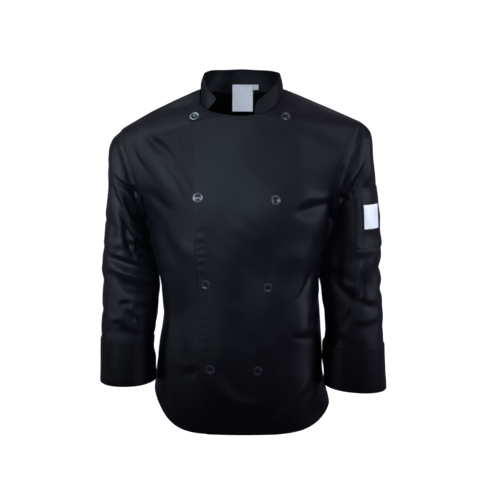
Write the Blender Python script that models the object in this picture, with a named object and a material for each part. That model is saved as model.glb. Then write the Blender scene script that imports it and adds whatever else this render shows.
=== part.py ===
"""Double-breasted chef jacket, worn form: shell panels, sleeves, cuffs, stand collar, buttons and labels.

Metres, +Z up.  The wearer faces -Y, so the wearer's left is +X.  The origin is the
middle of the neck, between the two points where the shoulder seams meet the collar.
"""
import math

import bpy
import numpy as np
from mathutils import Matrix, Vector
from mathutils.bvhtree import BVHTree

RIGHT = -1
LEFT = 1

WALL = 0.0018
SEAM_HALF_GAP = 0.0002
LAY_GAP = 0.0004
MAX_MITER = 1.3
MITER_LEAST_DOT = 0.25
SAME_POINT = 0.000001
SAME_SEAM = 0.000005
TINY = 1e-12

NECK_HALF_WIDTH = 0.087
NECK_FRONT_Y = -0.086
NECK_BACK_Y = 0.078
NECK_SIDE_Z = -0.002
NECK_FRONT_Z = -0.057
NECK_BACK_Z = -0.010
NECK_FRONT_CURVE = {RIGHT: 0.5, LEFT: 1.0}
NECK_START_ANGLE = 75.0

# The body from the hem up to the armpits.
BODY_COLUMNS = ("centre_z", "front_y", "back_y", "right_x", "right_z", "left_x", "left_z", "square", "bend")
BODY_ROWS = (
    (-0.713, -0.128, 0.125, 0.1915, -0.643, 0.1895, -0.677, 2.50, 6.0),
    (-0.640, -0.125, 0.121, 0.1870, -0.595, 0.1765, -0.614, 2.45, 4.5),
    (-0.560, -0.119, 0.112, 0.1780, -0.535, 0.1725, -0.540, 2.35, 3.0),
    (-0.480, -0.114, 0.100, 0.1705, -0.465, 0.1670, -0.465, 2.25, 2.4),
    (-0.400, -0.115, 0.099, 0.1790, -0.395, 0.1660, -0.395, 2.25, 2.0),
    (-0.330, -0.120, 0.106, 0.1925, -0.330, 0.1730, -0.330, 2.25, 2.0),
    (-0.270, -0.125, 0.114, 0.1990, -0.272, 0.1880, -0.272, 2.25, 2.0),
)

# The chest and the back above the armpits, by the place round the armhole.
CHEST_COLUMNS = ("centre_z", "centre_y", "square", "bend")
CHEST_ROWS = (
    (-0.270, -0.125, 2.25, 2.0),
    (-0.245, -0.126, 2.25, 2.0),
    (-0.218, -0.125, 2.25, 2.0),
    (-0.188, -0.122, 2.20, 2.0),
    (-0.155, -0.117, 2.20, 2.0),
    (-0.120, -0.109, 2.20, 2.0),
    (-0.086, -0.099, 2.20, 2.0),
    (-0.057, -0.086, 2.20, 2.0),
)
BLADE_ROWS = (
    (-0.270, 0.114, 2.25, 2.0),
    (-0.242, 0.118, 2.30, 2.0),
    (-0.210, 0.121, 2.35, 2.0),
    (-0.174, 0.122, 2.40, 2.0),
    (-0.134, 0.120, 2.40, 2.0),
    (-0.092, 0.113, 2.40, 2.0),
    (-0.048, 0.098, 2.30, 2.0),
    (-0.010, 0.078, 2.20, 2.0),
)

# Sleeve rings from the armhole to the wrist: outer point, inner point, middle and half depth.
SLEEVE_COLUMNS = ("outer_x", "outer_z", "inner_x", "inner_z", "middle_y", "half_depth", "tuck")
SLEEVE_ROWS = {
    RIGHT: (
        (0.2520, -0.085, 0.1990, -0.272, 0.000, 0.062, 0.004),
        (0.2735, -0.108, 0.2030, -0.279, 0.000, 0.064, 0.002),
        (0.2818, -0.155, 0.2035, -0.288, 0.000, 0.066, 0.000),
        (0.2838, -0.207, 0.2010, -0.302, -0.001, 0.067, 0.000),
        (0.2873, -0.250, 0.1958, -0.325, -0.002, 0.067, 0.000),
        (0.2918, -0.297, 0.1890, -0.355, -0.004, 0.066, 0.000),
        (0.2963, -0.350, 0.1808, -0.393, -0.008, 0.064, 0.000),
        (0.2993, -0.405, 0.1765, -0.430, -0.014, 0.062, 0.000),
        (0.3013, -0.464, 0.1810, -0.472, -0.022, 0.060, 0.000),
        (0.3008, -0.521, 0.1895, -0.521, -0.032, 0.057, 0.000),
        (0.3008, -0.571, 0.1930, -0.571, -0.041, 0.054, 0.000),
        (0.3008, -0.618, 0.1935, -0.618, -0.049, 0.052, 0.000),
    ),
    LEFT: (
        (0.2510, -0.071, 0.1880, -0.272, 0.000, 0.062, 0.024),
        (0.2705, -0.095, 0.1920, -0.279, 0.000, 0.064, 0.014),
        (0.2765, -0.145, 0.1925, -0.288, 0.000, 0.066, 0.006),
        (0.2828, -0.200, 0.1880, -0.302, -0.001, 0.067, 0.002),
        (0.2878, -0.248, 0.1810, -0.323, -0.002, 0.067, 0.000),
        (0.2918, -0.297, 0.1738, -0.352, -0.004, 0.066, 0.000),
        (0.2948, -0.350, 0.1692, -0.388, -0.008, 0.064, 0.000),
        (0.2978, -0.405, 0.1695, -0.430, -0.014, 0.062, 0.000),
        (0.3008, -0.464, 0.1750, -0.472, -0.022, 0.060, 0.000),
        (0.3028, -0.528, 0.1790, -0.524, -0.033, 0.057, 0.000),
        (0.3043, -0.583, 0.1800, -0.577, -0.043, 0.055, 0.000),
        (0.3063, -0.634, 0.1795, -0.626, -0.052, 0.054, 0.000),
    ),
}
SLEEVE_SQUARE = 2.15
BACK_TUCK = 0.004
SLEEVE_PROBE = 0.01
SLEEVE_PROBE_ANGLE = 2.0

# Where the collar's top edge stands from its seam, round the neck.
COLLAR_COLUMNS = ("angle", "step_x", "step_y", "step_z")
COLLAR_ROWS = (
    (-54.0, 0.023, 0.008, 0.021),
    (-72.0, 0.013, 0.004, 0.030),
    (-90.0, 0.008, 0.000, 0.031),
    (-126.0, 0.007, -0.003, 0.044),
    (-180.0, 0.000, 0.002, 0.050),
    (-234.0, -0.007, -0.003, 0.043),
    (-270.0, -0.008, 0.000, 0.030),
    (-288.0, -0.008, 0.003, 0.031),
    (-306.0, -0.009, 0.008, 0.033),
    (-324.0, -0.007, 0.012, 0.032),
    (-342.0, -0.001, 0.014, 0.023),
)
COLLAR_START = -54.0
COLLAR_END = -342.0
COLLAR_BOW = 0.0015

# The free edge of each lap, from its top down to the hem.
LAP_COLUMNS = ("height", "reach")
LAP_ROWS = (
    (-0.040, 0.106),
    (-0.220, 0.097),
    (-0.380, 0.091),
    (-0.550, 0.084),
    (-0.713, 0.076),
)
LAP_TOP_ANGLE = {RIGHT: 72.0, LEFT: 0.0}
LAP_TOP_CLEAR = 0.004
SHOULDER_BOW = {RIGHT: 0.003, LEFT: 0.000}
SHOULDER_BOW_ANGLE = 60.0
LIFT = WALL + LAY_GAP
LIFT_FULL_X = 0.112
LIFT_END_X = 0.168
LIFT_FULL_Z = -0.055
LIFT_END_Z = -0.036

# Broad folds: middle, half length, lean from the level, half width and depth; front is 1, back is -1.
FOLD_COLUMNS = ("x", "z", "half_length", "lean", "half_width", "depth", "face")
FOLD_ROWS = (
    (-0.150, -0.125, 0.075, -47.0, 0.020, -0.006, 1),
    (-0.178, -0.160, 0.060, -52.0, 0.018, 0.004, 1),
    (-0.120, -0.180, 0.060, -50.0, 0.022, 0.003, 1),
    (0.150, -0.245, 0.040, 160.0, 0.020, -0.006, 1),
    (0.125, -0.290, 0.060, 130.0, 0.026, 0.005, 1),
    (0.120, -0.480, 0.070, 80.0, 0.026, 0.005, 1),
    (0.100, -0.560, 0.050, 60.0, 0.022, -0.004, 1),
    (-0.050, -0.640, 0.070, -40.0, 0.026, 0.005, 1),
    (0.110, -0.650, 0.070, 55.0, 0.026, 0.006, 1),
    (-0.110, -0.600, 0.060, -65.0, 0.024, -0.004, 1),
    (-0.130, -0.230, 0.070, 50.0, 0.024, -0.005, -1),
    (0.130, -0.230, 0.070, -50.0, 0.024, -0.005, -1),
    (0.000, -0.450, 0.110, 4.0, 0.026, -0.005, -1),
    (-0.080, -0.600, 0.080, 80.0, 0.026, 0.005, -1),
    (0.080, -0.600, 0.080, -80.0, 0.026, 0.005, -1),
)

# Sleeve folds: place along the sleeve, place round it, twist, half width and depth.
SLEEVE_FOLD_COLUMNS = ("along", "around", "twist", "half_width", "half_reach", "depth")
SLEEVE_FOLD_ROWS = {
    RIGHT: (
        (0.24, 60.0, 0.0010, 0.030, 55.0, -0.004),
        (0.36, 120.0, 0.0012, 0.032, 60.0, -0.005),
        (0.50, 110.0, -0.0008, 0.034, 70.0, 0.004),
        (0.60, 130.0, 0.0010, 0.030, 60.0, -0.005),
        (0.52, 280.0, 0.0008, 0.036, 60.0, -0.004),
    ),
    LEFT: (
        (0.24, 60.0, -0.0010, 0.030, 55.0, -0.004),
        (0.55, 60.0, 0.0010, 0.034, 60.0, 0.004),
        (0.56, 130.0, -0.0010, 0.032, 60.0, -0.006),
        (0.66, 80.0, 0.0012, 0.030, 60.0, -0.004),
        (0.52, 280.0, 0.0008, 0.036, 60.0, -0.004),
    ),
}

ARM_STEPS = 12
BODY_STEPS = 10
HALF_COLUMNS = 9
LAP_STEPS = 4
COLLAR_STEPS = 3
SLEEVE_STEPS = 19
# The body is divided level with the underarm and each sleeve at its elbow, so its stiff pieces stay simple.
LOWER_ROWS = range(BODY_STEPS)
UPPER_ROWS = range(BODY_STEPS, BODY_STEPS + ARM_STEPS)
ELBOW_STEP = 10
DENSE = 90
LEAST_REACH = 0.002
DIAGONAL_BIAS = 1.0001

CUFF_START = {RIGHT: 0.826, LEFT: 0.836}
CUFF_STEPS = 3
CUFF_FLARE = 0.0012
SLEEVE_END = 0.994

POCKET = {"top": -0.204, "bottom": -0.330, "front": 90.0, "back": -15.0, "rows": 6, "columns": 7}
POCKET_WALL = 0.0012
TAG = {"top": -0.239, "bottom": -0.289, "front": 75.0, "back": 30.0, "rows": 3, "columns": 3}
TAG_WALL = 0.0010
PATCH_GAP = 0.0008
LEVEL_TRIES = 30

NECK_LABEL = {"left": -0.021, "right": 0.023, "top": 0.006, "bottom": -0.051}
SIZE_TAB = {"left": 0.0235, "right": 0.0355, "top": 0.006, "bottom": -0.005}
LABEL_WALL = 0.0010
LABEL_ROWS = 4
LABEL_COLUMNS = 6
LABEL_LEAN = 0.12

BUTTON_COLUMNS = ("x", "z")
BUTTON_ROWS = (
    (-0.0945, -0.059),
    (0.0885, -0.0585),
    (-0.087, -0.2175),
    (0.068, -0.2225),
    (-0.073, -0.397),
    (0.053, -0.4025),
    (-0.065, -0.574),
    (0.032, -0.576),
)
BUTTON_RADIUS = 0.0100
BUTTON_THICKNESS = 0.0032
BUTTON_DISH = 0.0009
BUTTON_RIM = 0.0022
BUTTON_EDGE = 0.0008
BUTTON_SEGMENTS = 20
BUTTON_GAP = 0.0004
HOLE_RADIUS = 0.0011
HOLE_SPACING = 0.0026
HOLE_SEGMENTS = 6
CUTTER_MARGIN = 0.003
FAR_FRONT_Y = -1.0

CLOTH_COLOUR = (0.012, 0.013, 0.016, 1.0)
COLLAR_COLOUR = (0.014, 0.015, 0.018, 1.0)
CUFF_COLOUR = (0.011, 0.012, 0.015, 1.0)
LABEL_COLOUR = (0.86, 0.86, 0.87, 1.0)
BUTTON_COLOUR = (0.018, 0.018, 0.022, 1.0)
CLOTH_ROUGHNESS = 0.75
LABEL_ROUGHNESS = 0.6
BUTTON_ROUGHNESS = 0.3


def clear_scene():
    """Empties the scene."""
    for item in list(bpy.data.objects):
        bpy.data.objects.remove(item, do_unlink=True)


def smooth_at(rows, place):
    """Returns the row at a place between evenly spaced rows, on a smooth curve through them."""
    table = np.asarray(rows, dtype=float)
    last = len(table) - 1
    place = min(max(place, 0.0), float(last))
    step = min(int(place), last - 1)
    part = place - step
    here = table[step]
    after = table[step + 1]
    before = table[step - 1] if step > 0 else 2 * here - after
    beyond = table[step + 2] if step + 2 <= last else 2 * after - here
    linear = (after - before) * part
    square = (2 * before - 5 * here + 4 * after - beyond) * part ** 2
    cube = (3 * here - before - 3 * after + beyond) * part ** 3
    return 0.5 * (2 * here + linear + square + cube)


def named(columns, values):
    """Returns the values of one row by their column names."""
    return dict(zip(columns, values))


def ease(value):
    """Returns a soft step from 0 to 1."""
    value = min(max(value, 0.0), 1.0)
    return value * value * (3 - 2 * value)


def neck_point(side, angle):
    """Returns the neckline seam at an angle from the centre front (0) to the centre back (180)."""
    turn = math.radians(angle)
    across = side * NECK_HALF_WIDTH * math.sin(turn)
    forward = math.cos(turn)
    if forward >= 0:
        drop = forward ** NECK_FRONT_CURVE[side]
        height = NECK_SIDE_Z + (NECK_FRONT_Z - NECK_SIDE_Z) * drop
        return np.array((across, NECK_FRONT_Y * forward, height))
    height = NECK_SIDE_Z - (NECK_BACK_Z - NECK_SIDE_Z) * forward
    return np.array((across, -NECK_BACK_Y * forward, height))


def sleeve_point(side, along, angle):
    """Returns a sleeve's outside, armhole (0) to wrist (1), at an angle from outer (0) to front (90)."""
    rows = SLEEVE_ROWS[side]
    ring = named(SLEEVE_COLUMNS, smooth_at(rows, along * (len(rows) - 1)))
    turn = math.radians(angle)
    cos = math.copysign(abs(math.cos(turn)) ** (2 / SLEEVE_SQUARE), math.cos(turn))
    sin = math.copysign(abs(math.sin(turn)) ** (2 / SLEEVE_SQUARE), math.sin(turn))
    middle_x = (ring["outer_x"] + ring["inner_x"]) / 2
    middle_z = (ring["outer_z"] + ring["inner_z"]) / 2
    half_x = (ring["outer_x"] - ring["inner_x"]) / 2
    half_z = (ring["outer_z"] - ring["inner_z"]) / 2
    tuck = ring["tuck"] * math.sin(turn) ** 2
    if sin < 0:
        tuck = min(tuck, BACK_TUCK)
    out = middle_x + half_x * cos - tuck
    return np.array((side * out, ring["middle_y"] - ring["half_depth"] * sin, middle_z + half_z * cos))


def sleeve_fold(side, along, angle):
    """Returns how far a sleeve's broad folds move its outside at one place."""
    total = 0.0
    for row in SLEEVE_FOLD_ROWS[side]:
        fold = named(SLEEVE_FOLD_COLUMNS, row)
        turn = (angle - fold["around"] + 180) % 360 - 180
        line = along - fold["along"] - fold["twist"] * turn
        spread = math.exp(-(line / fold["half_width"]) ** 2)
        total += fold["depth"] * spread * math.exp(-(turn / fold["half_reach"]) ** 2)
    return total


def section(inner, outer, square, bend, bow, split, columns):
    """Returns the points of one body section from its inner end to its outer end.

    Column LAP_STEPS lies at the distance split from the middle, so a lap's edge runs along it.
    """
    ratio = 1.0
    if abs(inner[1]) > SAME_POINT:
        ratio = min(max(outer[1] / inner[1], 0.0), 1.0)
    reach = (1 - min(ratio ** square, 1.0)) ** (1 / square)
    places = np.linspace(0, 1, DENSE)
    if reach < LEAST_REACH:
        share = places
        depth = inner[1] + (outer[1] - inner[1]) * places
    else:
        turn = places * math.asin(min(reach ** (square / 2), 1.0))
        share = np.sin(turn) ** (2 / square) / reach
        depth = inner[1] * np.maximum(np.cos(turn), 0.0) ** (2 / square)
        depth[-1] = outer[1]
    line = np.stack((
        inner[0] + (outer[0] - inner[0]) * share,
        depth,
        inner[2] + (outer[2] - inner[2]) * share ** bend + bow * np.sin(math.pi * share),
    ), axis=1)
    line[-1] = outer
    steps = np.linalg.norm(np.diff(line, axis=0), axis=1)
    length = np.concatenate(((0.0,), np.cumsum(steps)))
    cut = float(np.interp(split, np.abs(line[:, 0]), length))
    lap = columns * LAP_STEPS // HALF_COLUMNS
    past = np.linspace(cut, length[-1], columns - lap + 1)[1:]
    wanted = np.concatenate((np.linspace(0, cut, lap + 1), past))
    return np.stack([np.interp(wanted, length, line[:, axis]) for axis in range(3)], axis=1)


def lap_reach(height):
    """Returns how far a lap reaches past the centre front at one height."""
    heights = [row[0] for row in LAP_ROWS][::-1]
    reaches = [row[1] for row in LAP_ROWS][::-1]
    return float(np.interp(height, heights, reaches))


def half_panel(side, face, columns, body_steps, arm_steps):
    """Returns rows of points of half the front (face 1) or half the back (face -1), hem first."""
    grid = []
    for step in range(body_steps):
        row = named(BODY_COLUMNS, smooth_at(BODY_ROWS, step * (len(BODY_ROWS) - 1) / body_steps))
        word = "left" if side == LEFT else "right"
        depth = row["front_y"] if face > 0 else row["back_y"]
        inner = (0.0, depth, row["centre_z"])
        outer = (side * row[word + "_x"], 0.0, row[word + "_z"])
        split = lap_reach(row["centre_z"])
        grid.append(section(inner, outer, row["square"], row["bend"], 0.0, split, columns))
    rows = CHEST_ROWS if face > 0 else BLADE_ROWS
    for step in range(arm_steps + 1):
        angle = 180.0 * (1 - step / arm_steps)
        bow = SHOULDER_BOW[side] * max(1 - angle / SHOULDER_BOW_ANGLE, 0.0)
        if angle > NECK_START_ANGLE:
            place = (180.0 - angle) / (180.0 - NECK_START_ANGLE) * (len(rows) - 1)
            row = named(CHEST_COLUMNS, smooth_at(rows, place))
            inner = (0.0, row["centre_y"], row["centre_z"])
        else:
            row = named(CHEST_COLUMNS, rows[-1])
            turn = 90.0 * (1 - angle / NECK_START_ANGLE)
            row["bend"] = row["bend"] - turn / 90.0
            inner = neck_point(side, turn if face > 0 else 180.0 - turn)
        outer = sleeve_point(side, 0.0, angle * face)
        split = lap_reach(inner[2])
        grid.append(section(inner, outer, row["square"], row["bend"], bow, split, columns))
    return grid


class Surface:
    """One piece's outside as merged points and four-sided faces."""

    def __init__(self, name):
        self.name = name
        self.points = []
        self.faces = []
        self.tags = []
        self.grids = 0
        self.known = {}

    def point(self, place):
        """Adds a point, or finds the one already there."""
        key = tuple(round(float(value) / SAME_POINT) for value in place)
        if key not in self.known:
            self.known[key] = len(self.points)
            self.points.append(np.array(place, dtype=float))
        return self.known[key]

    def grid(self, rows, flip=False, closed=False):
        """Adds a grid of points, closed round its columns when asked."""
        marks = [[self.point(place) for place in row] for row in rows]
        for number, (low, high) in enumerate(zip(marks[:-1], marks[1:])):
            count = len(low) if closed else len(low) - 1
            for step in range(count):
                after = (step + 1) % len(low)
                face = (low[step], low[after], high[after], high[step])
                kept = tuple(dict.fromkeys(face))
                if len(kept) > 2:
                    self.faces.append(kept[::-1] if flip else kept)
                    self.tags.append((self.grids, number))
        self.grids += 1
        return marks

    def split(self):
        """Cuts each four-sided face across its shorter diagonal."""
        cut = []
        tags = []
        for face, tag in zip(self.faces, self.tags):
            tags += [tag] * (len(face) - 2)
            if len(face) == 3:
                cut.append(face)
                continue
            first, second, third, fourth = face
            one = np.linalg.norm(self.points[first] - self.points[third])
            other = np.linalg.norm(self.points[second] - self.points[fourth])
            if one <= other * DIAGONAL_BIAS:
                cut += [(first, second, third), (first, third, fourth)]
            else:
                cut += [(first, second, fourth), (second, third, fourth)]
        self.faces = cut
        self.tags = tags

    def normals(self):
        """Returns the outward direction at each point."""
        total = np.zeros((len(self.points), 3))
        for face in self.faces:
            corners = [self.points[mark] for mark in face]
            across = corners[2] - corners[0]
            other = corners[-1] - corners[1]
            facing = np.cross(across, other)
            for mark in face:
                total[mark] += facing
        return total / np.maximum(np.linalg.norm(total, axis=1), TINY)[:, None]

    def edges(self):
        """Returns the free edges, each in the direction its face runs."""
        seen = {}
        for face in self.faces:
            for here, after in zip(face, face[1:] + face[:1]):
                seen[(here, after)] = True
        return [edge for edge in seen if (edge[1], edge[0]) not in seen]

    def keys(self):
        """Returns each point's rounded place."""
        return [tuple(round(float(value) / SAME_SEAM) for value in place) for place in self.points]

    def remember(self):
        """Keeps the points as they are, for pieces that follow this one at a seam."""
        self.first_points = [place.copy() for place in self.points]
        self.first_keys = self.keys()

    def tree(self):
        """Returns a search tree of the outside, for laying things on it."""
        return BVHTree.FromPolygons([tuple(place) for place in self.points], self.faces)


def portion(piece, name, grids, rows):
    """Returns the part of a piece that some of its grids and rows of faces make, as a piece of its own."""
    part = Surface(name)
    marks = {}
    for face, (grid, row) in zip(piece.faces, piece.tags):
        if grid in grids and row in rows:
            for mark in face:
                marks.setdefault(mark, len(marks))
            part.faces.append(tuple(marks[mark] for mark in face))
    part.points = [piece.points[mark].copy() for mark in marks]
    part.across = np.array([piece.across[mark] for mark in marks])
    part.reach = np.array([piece.reach[mark] for mark in marks])
    return part


def shared_normals(pieces):
    """Gives pieces that meet at a seam the same direction there, so their walls end face to face."""
    book = {}
    own = {piece.name: piece.normals() for piece in pieces}
    for piece in pieces:
        for key, normal in zip(piece.keys(), own[piece.name]):
            book.setdefault(key, []).append(normal)
    for piece in pieces:
        piece.across = own[piece.name].copy()
        piece.reach = np.ones(len(piece.points))
        for mark, key in enumerate(piece.keys()):
            here = own[piece.name][mark]
            found = [normal for normal in book[key] if np.dot(normal, here) > MITER_LEAST_DOT]
            if len(found) < 2:
                continue
            mean = np.sum(found, axis=0)
            mean = mean / np.linalg.norm(mean)
            least = min(float(np.dot(mean, normal)) for normal in found)
            piece.across[mark] = mean
            piece.reach[mark] = min(1 / least, MAX_MITER)


def move_out(piece, amount):
    """Moves each point of a piece outwards by amount(point, normal)."""
    for mark, place in enumerate(piece.points):
        normal = piece.across[mark]
        piece.points[mark] = place + normal * amount(place, normal)


def body_fold(place, normal):
    """Returns how far the body's broad folds move one place."""
    total = 0.0
    for row in FOLD_ROWS:
        fold = named(FOLD_COLUMNS, row)
        facing = -normal[1] * fold["face"]
        if facing <= 0:
            continue
        lean = math.radians(fold["lean"])
        step_x = place[0] - fold["x"]
        step_z = place[2] - fold["z"]
        along = step_x * math.cos(lean) + step_z * math.sin(lean)
        aside = step_z * math.cos(lean) - step_x * math.sin(lean)
        length = math.exp(-(along / fold["half_length"]) ** 2)
        total += fold["depth"] * facing * length * math.exp(-(aside / fold["half_width"]) ** 2)
    return total


def lap_lift(place, normal):
    """Returns how far the left front stands off the right front under it."""
    if place[0] <= 0:
        return LIFT
    outward = ease((LIFT_END_X - place[0]) / (LIFT_END_X - LIFT_FULL_X))
    upward = ease((LIFT_END_Z - place[2]) / (LIFT_END_Z - LIFT_FULL_Z))
    return LIFT * outward * upward


def pull_in(piece):
    """Draws the free edges back by half of the seam gap."""
    steps = {}
    for here, after in piece.edges():
        for mark, other in ((here, after), (after, here)):
            steps.setdefault(mark, []).append(other)
    centres = {mark: [] for mark in steps}
    for face in piece.faces:
        middle = np.mean([piece.points[mark] for mark in face], axis=0)
        for mark in face:
            if mark in centres:
                centres[mark].append(middle)
    moved = {}
    for mark, others in steps.items():
        place = piece.points[mark]
        inward = np.mean(centres[mark], axis=0) - place
        inward = inward - piece.across[mark] * np.dot(inward, piece.across[mark])
        if len(others) == 2:
            along = piece.points[others[0]] - piece.points[others[1]]
            along = along / np.linalg.norm(along)
            inward = inward - along * np.dot(inward, along)
        moved[mark] = place + inward / np.linalg.norm(inward) * SEAM_HALF_GAP
    for mark, place in moved.items():
        piece.points[mark] = place


def solid(piece, wall, finish):
    """Makes the closed body of one piece: its outside, its inside and the edges between."""
    count = len(piece.points)
    outside = [tuple(place) for place in piece.points]
    inside = []
    for mark, place in enumerate(piece.points):
        inside.append(tuple(place - piece.across[mark] * wall * piece.reach[mark]))
    faces = [tuple(face) for face in piece.faces]
    faces += [tuple(mark + count for mark in face[::-1]) for face in piece.faces]
    for here, after in piece.edges():
        faces.append((after, here, here + count))
        faces.append((after, here + count, after + count))
    return mesh_object(piece.name, outside + inside, faces, finish)


def mesh_object(name, points, faces, finish):
    """Makes one smooth-shaded object."""
    mesh = bpy.data.meshes.new(name)
    mesh.from_pydata(points, [], faces)
    mesh.update()
    mesh.polygons.foreach_set("use_smooth", [True] * len(mesh.polygons))
    mesh.materials.append(finish)
    item = bpy.data.objects.new(name, mesh)
    bpy.context.scene.collection.objects.link(item)
    return item


def finish_of(name, colour, roughness):
    """Makes one plain material."""
    material = bpy.data.materials.new(name)
    material.use_nodes = True
    shader = material.node_tree.nodes["Principled BSDF"]
    shader.inputs["Base Color"].default_value = colour
    shader.inputs["Roughness"].default_value = roughness
    material.diffuse_color = colour
    return material


def lap_grid(side, half, neck_row):
    """Returns rows of points of the lap that reaches past the centre front to one side."""
    stride = 90.0 * (180.0 / ARM_STEPS) / NECK_START_ANGLE
    top_row = neck_row + round(LAP_TOP_ANGLE[side] / stride)
    grid = []
    for step in range(top_row + 1):
        line = [np.array(place) for place in half[step][:LAP_STEPS + 1]]
        if step > neck_row:
            toward = line[1] - line[0]
            length = np.linalg.norm(toward)
            line[0] = line[0] + toward / length * min(LAP_TOP_CLEAR, length / 2)
        grid.append(line)
    return grid


def front_piece(name, side, halves, neck_row):
    """Makes one front: the wearer's half on its own side and the lap past the centre."""
    piece = Surface(name)
    piece.grid(halves[side], flip=side < 0)
    other = -side
    piece.grid(lap_grid(other, halves[other], neck_row), flip=other < 0)
    return piece


def collar_grid():
    """Returns rows of points of the stand collar, from its right end round the back to its left end."""
    first = NECK_START_ANGLE
    stride = 90.0 * (180.0 / ARM_STEPS) / first
    count = round((COLLAR_START - COLLAR_END) / stride)
    angles = [row[0] for row in COLLAR_ROWS][::-1]
    grid = []
    for level in range(COLLAR_STEPS + 1):
        share = level / COLLAR_STEPS
        line = []
        for step in range(count + 1):
            angle = COLLAR_START - stride * step
            if angle >= -180.0:
                seam = neck_point(RIGHT, -angle)
            else:
                seam = neck_point(LEFT, 360.0 + angle)
            offset = np.array([
                np.interp(angle, angles, [row[column] for row in COLLAR_ROWS][::-1]) for column in (1, 2, 3)
            ])
            outward = np.array((seam[0], seam[1], 0.0))
            outward = outward / np.linalg.norm(outward)
            line.append(seam + offset * share + outward * COLLAR_BOW * math.sin(math.pi * share))
        grid.append(line)
    return grid


def sleeve_out(side, along, angle, out):
    """Returns a place moved out from a sleeve's outside, folds included."""
    here = sleeve_point(side, along, angle)
    above = sleeve_point(side, max(along - SLEEVE_PROBE, 0.0), angle)
    below = sleeve_point(side, min(along + SLEEVE_PROBE, 1.0), angle)
    ahead = sleeve_point(side, along, angle + SLEEVE_PROBE_ANGLE)
    behind = sleeve_point(side, along, angle - SLEEVE_PROBE_ANGLE)
    normal = np.cross(ahead - behind, below - above) * side
    normal = normal / np.linalg.norm(normal)
    return here + normal * (out + sleeve_fold(side, along, angle))


def sleeve_piece(name, side):
    """Makes one sleeve's outside."""
    around = 2 * ARM_STEPS
    piece = Surface(name)
    grid = []
    for step in range(SLEEVE_STEPS + 1):
        along = SLEEVE_END * step / SLEEVE_STEPS
        if step == 0:
            grid.append([sleeve_point(side, 0.0, 360.0 * turn / around) for turn in range(around)])
        else:
            grid.append([sleeve_out(side, along, 360.0 * turn / around, 0.0) for turn in range(around)])
    piece.grid(grid, flip=side < 0, closed=True)
    return piece


def cuff_piece(name, side):
    """Makes one turned-back cuff's outside, lying on the sleeve's end."""
    around = 2 * ARM_STEPS
    piece = Surface(name)
    grid = []
    for step in range(CUFF_STEPS + 1):
        share = step / CUFF_STEPS
        along = CUFF_START[side] + (1 - CUFF_START[side]) * share
        out = LAY_GAP + WALL + CUFF_FLARE * share
        grid.append([sleeve_out(side, along, 360.0 * turn / around, out) for turn in range(around)])
    piece.grid(grid, flip=side < 0, closed=True)
    return piece


def level_place(side, height, angle):
    """Returns the place along a sleeve where its outside at one angle comes down to a height."""
    low = 0.0
    high = 1.0
    for _ in range(LEVEL_TRIES):
        middle = (low + high) / 2
        if sleeve_point(side, middle, angle)[2] > height:
            low = middle
        else:
            high = middle
    return (low + high) / 2


def patch_on_sleeve(name, side, tree, sizes, out):
    """Makes a level patch's outside from the sleeve's own points, moved out."""
    piece = Surface(name)
    grid = []
    for step in range(sizes["rows"] + 1):
        height = sizes["top"] + (sizes["bottom"] - sizes["top"]) * step / sizes["rows"]
        line = []
        for turn in range(sizes["columns"] + 1):
            angle = sizes["front"] + (sizes["back"] - sizes["front"]) * turn / sizes["columns"]
            along = level_place(side, height, angle)
            start = sleeve_out(side, along, angle, 0.0)
            away = sleeve_out(side, along, angle, out) - start
            near = tree.find_nearest(Vector(tuple(start)))[0]
            line.append(np.array(near) + away)
        grid.append(line)
    piece.grid(grid, flip=side > 0)
    piece.split()
    return piece


def inside_label(name, sizes, collar_tree):
    """Makes a label that hangs inside the back of the neck from the collar's inner face."""
    piece = Surface(name)
    grid = []
    top = sizes["top"]
    for step in range(LABEL_ROWS + 1):
        height = top + (sizes["bottom"] - top) * step / LABEL_ROWS
        line = []
        for turn in range(LABEL_COLUMNS + 1):
            across = sizes["left"] + (sizes["right"] - sizes["left"]) * turn / LABEL_COLUMNS
            hit = collar_tree.ray_cast(Vector((across, 0.0, top)), Vector((0.0, 1.0, 0.0)))[0]
            depth = hit.y - WALL - LAY_GAP - LABEL_LEAN * (top - height)
            line.append((across, depth - LABEL_WALL, height))
        grid.append(line)
    piece.grid(grid, flip=True)
    return piece


def button_body(name, centre, normal, finish):
    """Makes one dished four-hole button lying on the cloth."""
    up = Vector(tuple(normal)).normalized()
    across = Vector((1.0, 0.0, 0.0))
    across = (across - up * across.dot(up)).normalized()
    other = up.cross(across)
    turn = Matrix((across, other, up)).transposed()
    base = Vector(tuple(centre)) + up * BUTTON_GAP
    profile = (
        (BUTTON_RADIUS - BUTTON_EDGE, 0.0),
        (BUTTON_RADIUS, BUTTON_EDGE),
        (BUTTON_RADIUS, BUTTON_THICKNESS - BUTTON_EDGE),
        (BUTTON_RADIUS - BUTTON_EDGE, BUTTON_THICKNESS),
        (BUTTON_RADIUS - BUTTON_RIM, BUTTON_THICKNESS),
        (BUTTON_RADIUS - BUTTON_RIM - BUTTON_EDGE, BUTTON_THICKNESS - BUTTON_DISH),
    )
    points = []
    for radius, height in profile:
        for step in range(BUTTON_SEGMENTS):
            angle = 2 * math.pi * step / BUTTON_SEGMENTS
            local = Vector((radius * math.cos(angle), radius * math.sin(angle), height))
            points.append(tuple(base + turn @ local))
    faces = []
    for ring in range(len(profile) - 1):
        low = ring * BUTTON_SEGMENTS
        high = low + BUTTON_SEGMENTS
        for step in range(BUTTON_SEGMENTS):
            after = (step + 1) % BUTTON_SEGMENTS
            faces.append((low + step, low + after, high + after, high + step))
    faces.append(tuple(range(BUTTON_SEGMENTS))[::-1])
    last = (len(profile) - 1) * BUTTON_SEGMENTS
    faces.append(tuple(range(last, last + BUTTON_SEGMENTS)))
    item = mesh_object(name, points, faces, finish)
    cut_holes(item, base, turn)
    return item


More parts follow.
